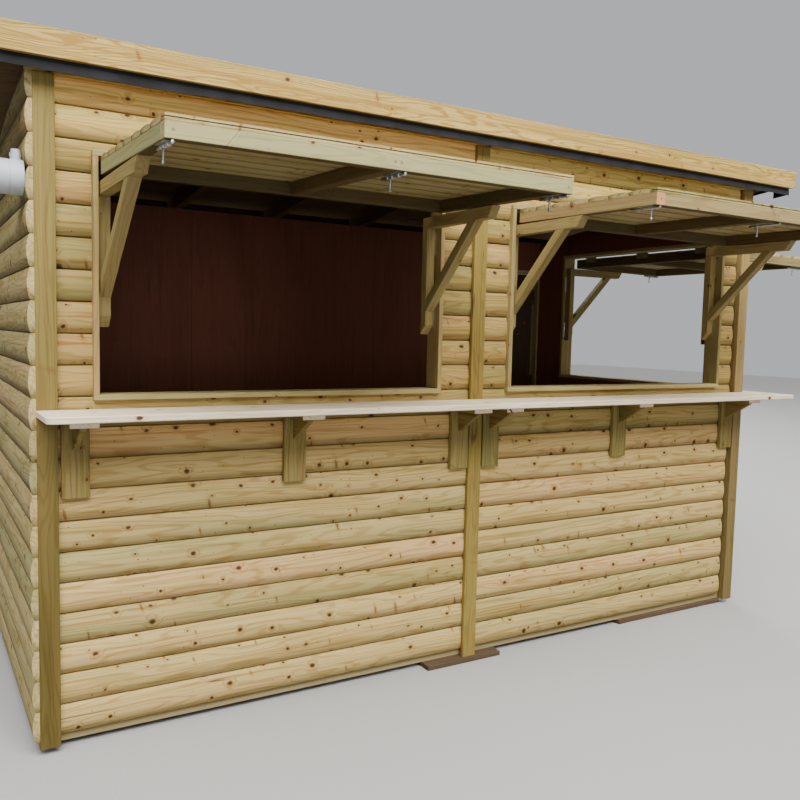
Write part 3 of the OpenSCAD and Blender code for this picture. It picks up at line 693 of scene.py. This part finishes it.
# Painted shade: the door's inner faces much darker than its outer ones
DOOR_SHADE_WOOD = wood_material("door_inner_painted_shade", (0.085, 0.050, 0.028), (0.09, 0.048, 0.028),
    (0.07, 0.047, 0.024), knots=0.3, grain=0.7)
DOOR_WOOD = wood_material("door_boards", (0.40, 0.30, 0.135), (0.42, 0.29, 0.135), (0.33, 0.28, 0.11),
    grain=0.6)
FRAME_WOOD = wood_material("frame_timber", (0.42, 0.33, 0.16), (0.42, 0.33, 0.16), (0.36, 0.32, 0.15),
    knots=0.0, grain=0.4, solid=True)
LINING = wood_material("dark_lining", (0.24, 0.080, 0.045), (0.25, 0.084, 0.045), (0.20, 0.072, 0.038),
    knots=0.0, solid=True, panels=True)
FELT = plain_material("mineral_felt", (0.017, 0.017, 0.020), 0.92, mottling=0.4, scale=120)
ZINC = plain_material("zinc", (0.55, 0.56, 0.58), 0.32, metallic=1.0, mottling=0.12, scale=200)
DARK_SCREW = plain_material("screw_steel", (0.16, 0.14, 0.11), 0.45, metallic=0.8, mottling=0.3, scale=400)
PLASTIC = plain_material("white_plastic", (0.56, 0.60, 0.645), 0.42, mottling=0.03, scale=40)


# Walls are worked out in their own place: x along the wall seen from outside, y into it

CORNER = Vector((-BODY_W/2, -BODY_D/2, 0))
ROOF_NORMAL = Vector((0, ROOF_FALL, 1)).normalized()
ROOF_POINT = CORNER + Vector((0, 0, EAVE_Z))
ROOF_TILT = math.atan(ROOF_FALL)
FACING_FRONT = Matrix.Rotation(math.pi/2, 4, "X")
WALLS = {
    "front": Matrix.Translation(CORNER),
    "right": at(BODY_W/2 + TRIM_T, -BODY_D/2, 0) @ Matrix.Rotation(math.pi/2, 4, "Z"),
    "left": at(-BODY_W/2 - TRIM_T - LAP_T, BODY_D/2, 0) @ Matrix.Rotation(-math.pi/2, 4, "Z"),
    "back": at(BODY_W/2, BODY_D/2, 0) @ Matrix.Rotation(math.pi, 4, "Z"),
}


def box_on(wall, node):
    """A node's box in a wall's own place, as (x0, x1, y0, y1, z0, z1)."""
    low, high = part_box(node)
    back = WALLS[wall].inverted()
    a, b = back @ low, back @ high
    return (min(a.x, b.x), max(a.x, b.x), min(a.y, b.y), max(a.y, b.y), low.z, high.z)


def clad_wall(name, wall, node, hole, material):
    """Log-lap boards over a wall, cut round a hole and along the roof."""
    x0, x1, _, _, z0, z1 = box_on(wall, node)
    model = log_board(LAP_T, LAP_ROUND, x1 - x0, *LAP_LIPS)
    rows = math.ceil((z1 - z0)/LAP_COVER - 0.01)
    holes = [(hole[0], hole[1], hole[4], hole[5])] if hole else []
    boards = lay_boards(model, rows, x0, x1, holes, WALLS[wall] @ at(0, TRIM_T, 0), z0)
    bpy.data.objects.remove(model)
    piece = join(name, boards)
    slice_off(piece, ROOF_POINT, ROOF_NORMAL)
    finish_piece(name, [piece], node, material, smooth=SMOOTH_BOARDS)


liner_left = box_on("front", "opening_liner_left")
liner_right = box_on("front", "opening_liner_right")
liner_side = box_on("right", "opening_liner_side")
clad_wall("front_boards_left", "front", "front_cladding_left", liner_left, FRONT_BOARDS)
clad_wall("front_boards_right", "front", "front_cladding_right", liner_right, FRONT_BOARDS)
clad_wall("right_wall_boards", "right", "right_cladding", liner_side, BOARDS)
clad_wall("left_wall_boards", "left", "left_cladding", None, BOARDS)
clad_wall("back_wall_boards", "back", "back_cladding", box_on("back", "door_liner"), BOARDS)

corner_trim = timber_between(*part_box("front_left_trim"))
finish_piece("left_corner_trim", [corner_trim], "front_left_trim", CORNER_WOOD)
low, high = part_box("front_right_trim")
face_board = timber_between(low, (high.x, low.y + TRIM_T, high.z))
packing = timber_between((low.x, low.y + TRIM_T, low.z), (high.x - LAP_T, high.y, high.z))
finish_piece("right_corner_trim", [face_board, packing], "front_right_trim", RIGHT_CORNER_WOOD)
cover_strip = timber_between(*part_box("mid_cover_strip"))
finish_piece("middle_strip", [cover_strip], "mid_cover_strip", TRIM)


def liner(name, wall, node):
    """A sill, a head and two jambs round an opening."""
    x0, x1, y0, y1, z0, z1 = box_on(wall, node)
    place = WALLS[wall]
    boards = [timber(x1 - x0, y1 - y0, LINER_T, place @ at(x0, y0, z))
        for z in (z0, z1 - LINER_T)]
    for x in (x0, x1 - LINER_T):
        turn = at(x + LINER_T, y0, z0 + LINER_T) @ Matrix.Rotation(-math.pi/2, 4, "Y")
        boards.append(timber(z1 - z0 - 2*LINER_T, y1 - y0, LINER_T, place @ turn))
    boards = finish_piece(name, boards, node, LINER_WOOD)
    paint_faces(boards, lambda face: int(z0 + LINER_T < face.center.z < z1 - LINER_T), JAMB_WOOD)


liner("left_opening_boards", "front", "opening_liner_left")
liner("right_opening_boards", "front", "opening_liner_right")
liner("side_opening_boards", "right", "opening_liner_side")
liner("doorway_boards", "back", "door_liner")


# Roof, floor and other plain timbers

def dress_timbers(name, node, material, edge=EASE):
    """Gives each timber of a node its own grain and eased edges."""
    twin = copy_of(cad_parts[node])
    open_edit(twin)
    bpy.ops.mesh.remove_doubles(threshold=1e-5)
    bpy.ops.mesh.dissolve_limited(angle_limit=math.radians(1))
    bpy.ops.mesh.separate(type="LOOSE")
    close_edit()
    parts = list(bpy.context.selected_objects)
    for part in parts:
        bevel_edges(part, edge)
        places = [[vert.co[i] for vert in part.data.vertices] for i in range(3)]
        order = sorted(range(3), key=lambda i: min(places[i]) - max(places[i]))
        mark_timber(part, order=order)
    finish_piece(name, parts, node, material)


dress_timbers("front_fascia_board", "front_fascia", FASCIA_WOOD, EASE_MORE)
dress_timbers("back_fascia_board", "back_fascia", FASCIA_WOOD, EASE_MORE)
dress_timbers("eaves_batten", "eave_batten", FASCIA_WOOD)
dress_timbers("joists", "roof_joists", INNER_WOOD)
dress_timbers("packing_pieces", "packers", PACKER_WOOD, EASE_MORE)
dress_timbers("floor_timbers", "floor_frame", FRAME_WOOD)
dress_timbers("rear_corner_trims", "back_corner_trims", TRIM)
dress_timbers("door_surround", "door_trims", TRIM)


def ceiling():
    """Roof boards side by side from the front to the back, cut plumb at both ends of the slope."""
    low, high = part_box("roof_boards")
    long = (high.y - low.y)/math.cos(ROOF_TILT)
    thick = (high.z - low.z - ROOF_FALL*(high.y - low.y))*math.cos(ROOF_TILT)
    rows = round(long/CEILING_COVER)
    place = at(low.x, low.y, high.z) @ Matrix.Rotation(-ROOF_TILT, 4, "X")
    boards = []
    for row in range(rows):
        where = place @ at(0, row*long/rows, -thick)
        boards.append(timber(high.x - low.x, long/rows, thick, where, edge=EASE_JOINT))
    slice_off(boards[0], low, (0, -1, 0))
    slice_off(boards[-1], high, (0, 1, 0))
    finish_piece("ceiling_boards", boards, "roof_boards", CEILING_WOOD)


ceiling()


# Ironmongery

def turned_bar(radius, length, place, ends=MM):
    """A round bar along z from the origin, with eased ends."""
    bar = round_bar(radius, length, (0, 0, length/2), 20)
    bevel_edges(bar, ends, lambda edge: abs(edge.verts[0].co.z - edge.verts[1].co.z) < 1e-5, segments=2)
    move(bar, place)
    return bar


def plate(size, place):
    """A flat plate, middle on x, from the origin along y and down in z."""
    piece = block(size, (0, size[1]/2, -size[2]/2))
    bevel_edges(piece, PLATE_EASE)
    move(piece, place)
    return piece


def barrel_bolt(place, handle_y):
    """A barrel bolt under a rail: its shoot ends flush with the rail's front, and its handle hangs down."""
    axis_z = -BOLT_PLATE[2] - BOLT_R
    along = place @ at(0, MM, axis_z) @ Matrix.Rotation(-math.pi/2, 4, "X")
    hang = place @ at(0, handle_y, axis_z) @ Matrix.Rotation(math.pi, 4, "X")
    parts = [plate(BOLT_PLATE, place @ at(0, BOLT_PLATE_Y, 0))]
    parts.append(turned_bar(BOLT_R, BOLT_LENGTH, along, 2.5*MM))
    for y in BOLT_COLLARS:
        parts.append(turned_bar(BOLT_R + 2*MM, BOLT_COLLAR_L, along @ at(0, 0, y)))
    parts.append(turned_bar(BOLT_HANDLE_R, BOLT_DROP, hang))
    parts.append(turned_bar(BOLT_KNOB_R, BOLT_KNOB_L, hang @ at(0, 0, BOLT_DROP - 3*MM), 3*MM))
    return parts


def fixing_head(place, radius):
    """A round head with a recess, across z."""
    head = round_bar(radius, HEAD_T, (0, 0, 0), 16)
    open_edit(head, "FACE", lambda face: face.normal.z > 0.9)
    bpy.ops.mesh.inset(thickness=radius*0.45, depth=0)
    bpy.ops.mesh.inset(thickness=radius*0.1, depth=-HEAD_IN)
    close_edit()
    move(head, place)
    return head


# Propped hatches: a ledged frame under log-lap boards, built flat in its own place and then propped

def hatch_rails(side, width, length, place):
    """A front and a back rail, and three out from the wall. The left hatch's front rail is in two lengths."""
    low = -HATCH_BOARD_T - HATCH_RAIL_H
    through = side == "right"
    rails = []

    def rail_along(x0, x1, y, cuts=()):
        where = place @ at(x0, y, low)
        rails.append(timber(x1 - x0, HATCH_RAIL_W, HATCH_RAIL_H, where, edge=EASE_MORE, cuts=cuts))

    if side == "left":
        for sign in (1, -1):
            slanted = Vector((sign, 0, -sign*SPLIT_SLOPE)).normalized()
            rail_along(0, width, -length, [((SPLIT_X, 0, 0), slanted)])
    else:
        front_x = HATCH_RAIL_W if through else 0
        rail_along(front_x, width - front_x, -length)
    rail_along(HATCH_RAIL_W, width - HATCH_RAIL_W, -HATCH_RAIL_W)
    for x in (0, width/2 - HATCH_RAIL_W/2, width - HATCH_RAIL_W):
        middle = 0 < x < width - HATCH_RAIL_W
        near = -length + (0 if through and not middle else HATCH_RAIL_W)
        far = -HATCH_RAIL_W if middle else 0
        turn = at(x, far, low) @ Matrix.Rotation(-math.pi/2, 4, "Z")
        rails.append(timber(far - near, HATCH_RAIL_W, HATCH_RAIL_H, place @ turn, edge=EASE_MORE))
    rails = finish_piece("hatch_rails_" + side, rails, "hatch_frame_" + side,
        RAIL_WOOD if side == "left" else TAN_RAIL_WOOD)
    back = place.inverted()

    def wood_of(face):
        """The rails' own wood outside, a darker one inside and below as painted shade, end grain on rails
        that run through.
        """
        facing = back.to_3x3() @ face.normal
        centre = back @ face.center
        from_end = min(centre.x, width - centre.x)
        front = facing.y < -0.5 and centre.y < -length + 10*MM
        if front and through and from_end < HATCH_RAIL_W - 2*MM:
            return 2
        return 0 if front or (abs(facing.x) > 0.5 and from_end < 5*MM) else 1

    paint_faces(rails, wood_of, HATCH_SHADE_WOOD, END_GRAIN)


def hatch_skin(side, width, length, place):
    """Log-lap boards over the rails, the last one ripped to width and grooved along its front edge."""
    model = log_board(HATCH_BOARD_T, HATCH_ROUND, width, *HATCH_LIPS)
    lay = place @ Matrix(((1, 0, 0, 0), (0, 0, -1, 0), (0, -1, 0, 0), (0, 0, 0, 1)))
    boards = lay_boards(model, math.ceil(length/LAP_COVER), 0, width, [], lay, 0)
    bpy.data.objects.remove(model)
    turn = place.to_3x3()
    upward = turn @ Vector((0, 0, 1))
    slice_off(boards[-1], place @ Vector((0, -length + HATCH_EDGE_IN, 0)), turn @ Vector((0, -1, 0)))
    lower = copy_of(boards[-1])
    slice_off(boards[-1], place @ Vector((0, 0, EDGE_GROOVE - HATCH_BOARD_T/2)), -upward)
    slice_off(lower, place @ Vector((0, 0, -EDGE_GROOVE - HATCH_BOARD_T/2)), upward)
    boards.append(lower)
    skin = finish_piece("hatch_skin_" + side, boards, "hatch_boards_" + side, BOARDS, SMOOTH_BOARDS)
    back = place.inverted().to_3x3()

    def wood_of(face):
        """Painted shade: dark below, and darker still in the joints."""
        facing = (back @ face.normal).z
        return 1 if facing < -0.95 else 2 if facing < -0.5 else 0

    paint_faces(skin, wood_of, HATCH_SHADE_WOOD, GROOVE_SHADE_WOOD)


def hatch_fixings(side, width, length, place):
    """Barrel bolts under the front rail, and the heads of the screws in it."""
    low = -HATCH_BOARD_T - HATCH_RAIL_H
    bolts = []
    for x, handle_y in zip((BOLT_IN, width/2 + BOLT_OFF, width - BOLT_IN), BOLT_HANDLES[side]):
        bolts += barrel_bolt(place @ at(x, -length, low), handle_y)
    finish_piece("hatch_bolts_" + side, bolts, None, ZINC)
    screws = []
    for x in (HATCH_RAIL_W/2, width/2 - HATCH_RAIL_W/4, width/2 + HATCH_RAIL_W/4, width - HATCH_RAIL_W/2):
        where = place @ at(x, -length + HEAD_IN, low + HATCH_RAIL_H/2)
        screws.append(fixing_head(where @ FACING_FRONT, SCREW_R))
    finish_piece("hatch_screws_" + side, screws, None, DARK_SCREW)


def hatch(side, wall, opening):
    x0, x1, _, _, z0, z1 = opening
    width = x1 - x0 - 2*(LINER_T + HATCH_GAP)
    length = z1 - z0 - 2*(LINER_T + HATCH_GAP)
    hinge = at(x0 + LINER_T + HATCH_GAP, HATCH_BACK_Y, z1 - LINER_T)
    place = WALLS[wall] @ hinge @ Matrix.Rotation(HATCH_DROOP[side], 4, "X")
    hatch_rails(side, width, length, place)
    hatch_skin(side, width, length, place)
    hatch_fixings(side, width, length, place)


hatch("left", "front", liner_left)
hatch("right", "front", liner_right)
hatch("side", "right", liner_side)


# Gallows brackets: a post on the jamb, an arm, and a brace between them

def gallows(number, wall):
    node = f"gallows_bracket_{number}"
    x0, x1, y0, y1, z0, z1 = box_on(wall, node)
    width = x1 - x0
    under = z1 - ARM_H
    face = y1 - BRACKET_T
    place = WALLS[wall]

    def side_on(y, z, angle):
        """A place with x along a timber in side view and y across the bracket."""
        turn = Matrix.Rotation(math.pi/2, 4, "Z") @ Matrix.Rotation(-angle, 4, "Y")
        return place @ at(x0, y, z) @ turn @ at(0, -width, 0)

    arm = timber(y1 - y0, width, ARM_H, side_on(y0, under, 0), edge=EASE_MORE,
        cuts=[((0, 0, ARM_H), Vector((-ARM_H, 0, -ARM_END_CUT)).normalized())])
    post = timber_in(place, (x0, face, z0), (x1, y1, under),
        cuts=[((0, y1, z0), Vector((0, -POST_CUT, -BRACKET_T)).normalized())])
    run = Vector((0, y0 + BRACE_END - face, BRACE_DROP))
    spare = 2*BRACKET_T
    brace_place = side_on(face, under - BRACE_DROP, math.atan2(run.z, run.y)) @ at(-spare, 0, 0)
    back = (place.inverted() @ brace_place).inverted()
    cuts = [(back @ Vector(point), back.to_3x3() @ Vector(normal))
        for point, normal in (((0, face, 0), (0, 1, 0)), ((0, 0, under), (0, 0, 1)))]
    brace = timber(run.length + 2*spare, width, BRACKET_T, brace_place, edge=EASE_MORE, cuts=cuts)
    finish_piece(f"bracket_{number}_timbers", [arm, post, brace], node, HATCH_WOOD)


for number in range(1, 5):
    gallows(number, "front")
for number in range(5, 7):
    gallows(number, "right")


# Counter on its brackets

def counter(side, clip, outward):
    """A plank with its outer front corner clipped: outward is -1 at the left end and 1 at the right one."""
    node = "counter_plank_" + side
    low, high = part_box(node)
    corner = (low.x if outward < 0 else high.x, low.y + clip, 0)
    plank = timber_between(low, high, 0.5, EASE_WORN, [(corner, Vector((outward, -1, 0)).normalized())])
    finish_piece("counter_" + side, [plank], node, COUNTER_WOOD)


counter("left", COUNTER_CLIP_LEFT, -1)
counter("right", COUNTER_CLIP_RIGHT, 1)
low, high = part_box("side_shelf")
shelf_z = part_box("counter_plank_left")[0].z
shelf = timber_between((low.x, low.y, shelf_z), high, 0.5, EASE_WORN)
cleat = timber_between((low.x, low.y + TRIM_T, low.z), (low.x + CB_BACK_T, high.y - TRIM_T, shelf_z))
finish_piece("side_shelf_timbers", [shelf, cleat], "side_shelf", COUNTER_WOOD)


def islands_along_x(node):
    """The spans in x that a node's separate timbers take, in the row frame."""
    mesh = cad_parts[node].data
    spans = []
    for face in mesh.polygons:
        xs = [mesh.vertices[i].co.x for i in face.vertices]
        low, high = min(xs), max(xs)
        touching = [span for span in spans if span[0] <= high + 1e-5 and span[1] >= low - 1e-5]
        spans = [span for span in spans if span not in touching]
        touching.append((low, high))
        spans.append((min(span[0] for span in touching), max(span[1] for span in touching)))
    return sorted(spans)


def counter_brackets():
    """A back board, a flat arm and a tapered gusset each, the arms' front ends painted light in the counter's
    pale wood, as if lit where the counter shades them.
    """
    place = WALLS["front"]
    low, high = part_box("counter_brackets")
    back_y = TRIM_T - CB_BACK_T
    top = high.z - CB_TOP_T
    taper = Vector((0, -(GUSSET_H - GUSSET_NOSE), -(GUSSET_D + back_y))).normalized()
    parts = []
    for x0, x1 in islands_along_x("counter_brackets"):
        x0, x1 = x0 - CORNER.x, x1 - CORNER.x
        gusset_x0 = (x0 + x1)/2 - GUSSET_T/2
        parts.append(timber_in(place, (x0, back_y, low.z), (x1, TRIM_T, top)))
        parts.append(timber_in(place, (x0, -CB_TOP_D, top), (x1, TRIM_T, high.z)))
        parts.append(timber_in(place, (gusset_x0, -GUSSET_D, top - GUSSET_H),
            (gusset_x0 + GUSSET_T, back_y, top), cuts=[((0, -GUSSET_D, top - GUSSET_NOSE), taper)]))
    brackets = finish_piece("counter_bracket_timbers", parts, "counter_brackets", BRACKET_WOOD)
    # Painted light: the arms' front ends far lighter than the rest of each arm
    end_y = CORNER.y - CB_TOP_D + 2*MM
    paint_faces(brackets, lambda face: int(face.center.y < end_y), COUNTER_WOOD)


counter_brackets()


def strip_nails():
    """Nail heads up the middle strip, a pair in each second board."""
    x0, x1, y0, _, z0, z1 = box_on("front", "mid_cover_strip")
    nails = []
    z = z0 + NAIL_FOOT
    while z < z1 - NAIL_TOP:
        for x in (x0 + NAIL_INSET, x1 - NAIL_INSET):
            if not COUNTER_NAIL_GAP[0] < z < COUNTER_NAIL_GAP[1]:
                spot = (x + random.uniform(-3, 3)*MM, y0 + HEAD_IN, z + random.uniform(-6, 6)*MM)
                nails.append(fixing_head(WALLS["front"] @ at(*spot) @ FACING_FRONT, NAIL_R))
        z += 2*LAP_COVER
    finish_piece("strip_nails", nails, None, DARK_SCREW)


strip_nails()


def door_leaf():
    """Upright boards with eased joints on three ledges, with painted shade on the inside."""
    x0, x1, y0, y1, z0, z1 = box_on("back", "back_door")
    place = WALLS["back"]
    ledge_y = y0 + DOOR_BOARD_T
    count = round((x1 - x0)/DOOR_BOARD_W)
    width = (x1 - x0)/count
    leaf = [timber_in(place, (x0 + i*width, y0, z0), (x0 + (i + 1)*width, ledge_y, z1), EASE_JOINT)
        for i in range(count)]
    for z in (z0 + LEDGE_H, MID_LEDGE_Z - LEDGE_H, z1 - 2*LEDGE_H):
        leaf.append(timber_in(place, (x0, ledge_y, z), (x1, y1, z + LEDGE_H), EASE_WORN))
    door = finish_piece("back_door_boards", leaf, "back_door", DOOR_WOOD)
    inside_y = BODY_D/2 - TRIM_T - LAP_T/2
    paint_faces(door, lambda face: int(face.center.y < inside_y or face.normal.y < -0.5), DOOR_SHADE_WOOD)


door_leaf()


# Felt: laps across the roof and the torn lower edge along the front, on the solid felt

def felt_laps():
    low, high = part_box("roof_felt")
    place = at(low.x, low.y, high.z) @ Matrix.Rotation(-ROOF_TILT, 4, "X")
    size = (high.x - low.x - 2*LAP_INSET, FELT_LAP_D, FELT_LAP_T)
    laps = [plate(size, place @ at((high.x - low.x)/2, y, FELT_LAP_T)) for y in FELT_LAPS]
    finish_piece("felt_laps", laps, None, FELT)


def felt_edge():
    """A strip a hair in front of the solid felt's drip, its lower points pulled down in uneven waves."""
    low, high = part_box("roof_felt")
    foot = EAVE_Z - ROOF_FALL*(low.y - CORNER.y) - FELT_DRIP
    bpy.ops.mesh.primitive_grid_add(x_subdivisions=160, y_subdivisions=2, size=1, rotation=(math.pi/2, 0, 0))
    strip = bpy.context.object
    strip.scale = (high.x - low.x, FELT_EDGE_H, 1)
    strip.location = ((low.x + high.x)/2, low.y - FELT_LAP_T/2, foot + FELT_EDGE_H/2)
    settle()
    for vert in strip.data.vertices:
        if vert.co.z < foot + MM:
            wave = sum(height*math.sin(vert.co.x*pitch + start) for pitch, start, height in FELT_WAVES)
            vert.co.z -= FELT_TEAR*(0.5 + 0.22*wave) + random.uniform(0, 0.8)*MM
    thicken = strip.modifiers.new("thickness", "SOLIDIFY")
    thicken.thickness = FELT_LAP_T/3
    thicken.offset = 0
    make_active(strip)
    bpy.ops.object.modifier_apply(modifier="thickness")
    finish_piece("felt_front_edge", [strip], None, FELT)


felt_laps()
felt_edge()


# Materials of the solids that stay

KEPT = {
    "floor_deck": FRAME_WOOD, "wall_framing": FRAME_WOOD,
    "front_lining": LINING, "right_lining": LINING, "left_lining": LINING, "back_lining": LINING,
    "roof_felt": FELT, "butt_hinges": ZINC, "door_hinges": ZINC, "power_inlet": PLASTIC,
}
for node, material in KEPT.items():
    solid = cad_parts[node]
    solid.data.materials.clear()
    solid.data.materials.append(material)


# Floor, lights and camera

def stage_floor():
    """A pale floor that gives off less light than its colour says."""
    bpy.ops.mesh.primitive_plane_add(size=60, location=(0, 0, -0.5*MM))
    floor = bpy.context.object
    floor.name = "stage_floor"
    material, net, shader = new_material("stage_floor")
    seen = net.node("LightPath").outputs["Is Camera Ray"]
    net.link(net.mix(seen, (0.13, 0.13, 0.127, 1), (0.43, 0.425, 0.417, 1)), shader.inputs["Base Color"])
    shader.inputs["Roughness"].default_value = 0.9
    floor.data.materials.append(material)


def studio_world():
    """A dim sky that is brighter to the camera than it is as a light."""
    world = bpy.data.worlds.new("studio")
    world.use_nodes = True
    net = Net(world.node_tree)
    dim = world.node_tree.nodes["Background"]
    dim.inputs["Color"].default_value = (0.94, 0.97, 1.0, 1)
    dim.inputs["Strength"].default_value = 0.05
    backdrop = net.node("Background")
    backdrop.inputs["Color"].default_value = (0.93, 0.96, 1.0, 1)
    backdrop.inputs["Strength"].default_value = 0.55
    either = net.node("MixShader")
    net.link(net.node("LightPath").outputs["Is Camera Ray"], either.inputs[0])
    net.link(dim.outputs[0], either.inputs[1])
    net.link(backdrop.outputs[0], either.inputs[2])
    net.link(either.outputs[0], world.node_tree.nodes["World Output"].inputs["Surface"])
    bpy.context.scene.world = world


def add_light(name, kind, power, place, aim):
    """A light that shines along the aim. A sun's power is its strength."""
    data = bpy.data.lights.new(name, kind)
    data.energy = power
    light = bpy.data.objects.new(name, data)
    bpy.context.scene.collection.objects.link(light)
    light.location = place
    light.rotation_euler = Vector(aim).to_track_quat("-Z", "Y").to_euler()
    return data


def soft_light(name, power, place, target, width, height):
    light = add_light(name, "AREA", power, place, Vector(target) - Vector(place))
    light.shape = "RECTANGLE"
    light.size = width
    light.size_y = height
    return light


stage_floor()
studio_world()
sky_light = soft_light("sky_light", 1330, (-2.0, -6.2, 8.0), (-0.2, -0.9, 1.0), width=10, height=5.5)
sky_light.color = (1.0, 0.985, 0.96)
broad_light = add_light("broad_light", "SUN", 3.2, place=(0, 0, 0), aim=(0.16, 0.48, -1.0))
broad_light.angle = math.radians(70)
soft_light("side_light", 220, (8.0, -3.0, 6.5), (1.0, 0, 1.0), width=5, height=5)
soft_light("back_light", 2400, (4.0, 12.0, 9.0), (2.0, 5.0, 0.0), width=12, height=10)
soft_light("low_light", 190, (-1.5, -10.0, 1.9), (0, 0, 1.3), width=7, height=2.5)


def photo_camera():
    """The camera that was solved from the photo: its eye is measured from the front left corner."""
    eye = (-0.3823, -3.0700, 1.5392)
    yaw = 0.54044
    pitch = 0.081777
    roll = -0.023217
    forward = Vector((math.sin(yaw)*math.cos(pitch), math.cos(yaw)*math.cos(pitch), -math.sin(pitch)))
    level = Vector((math.cos(yaw), -math.sin(yaw), 0))
    down = forward.cross(level)
    right = math.cos(roll)*level + math.sin(roll)*down
    down = -math.sin(roll)*level + math.cos(roll)*down
    data = bpy.data.cameras.new("photo_camera")
    data.lens = 37.172
    data.sensor_width = 36
    camera = bpy.data.objects.new("photo_camera", data)
    bpy.context.scene.collection.objects.link(camera)
    turn = Matrix((right, -down, -forward)).transposed().to_4x4()
    camera.matrix_world = Matrix.Translation(CORNER + Vector(eye)) @ turn
    bpy.context.scene.camera = camera


photo_camera()

deselect_all()
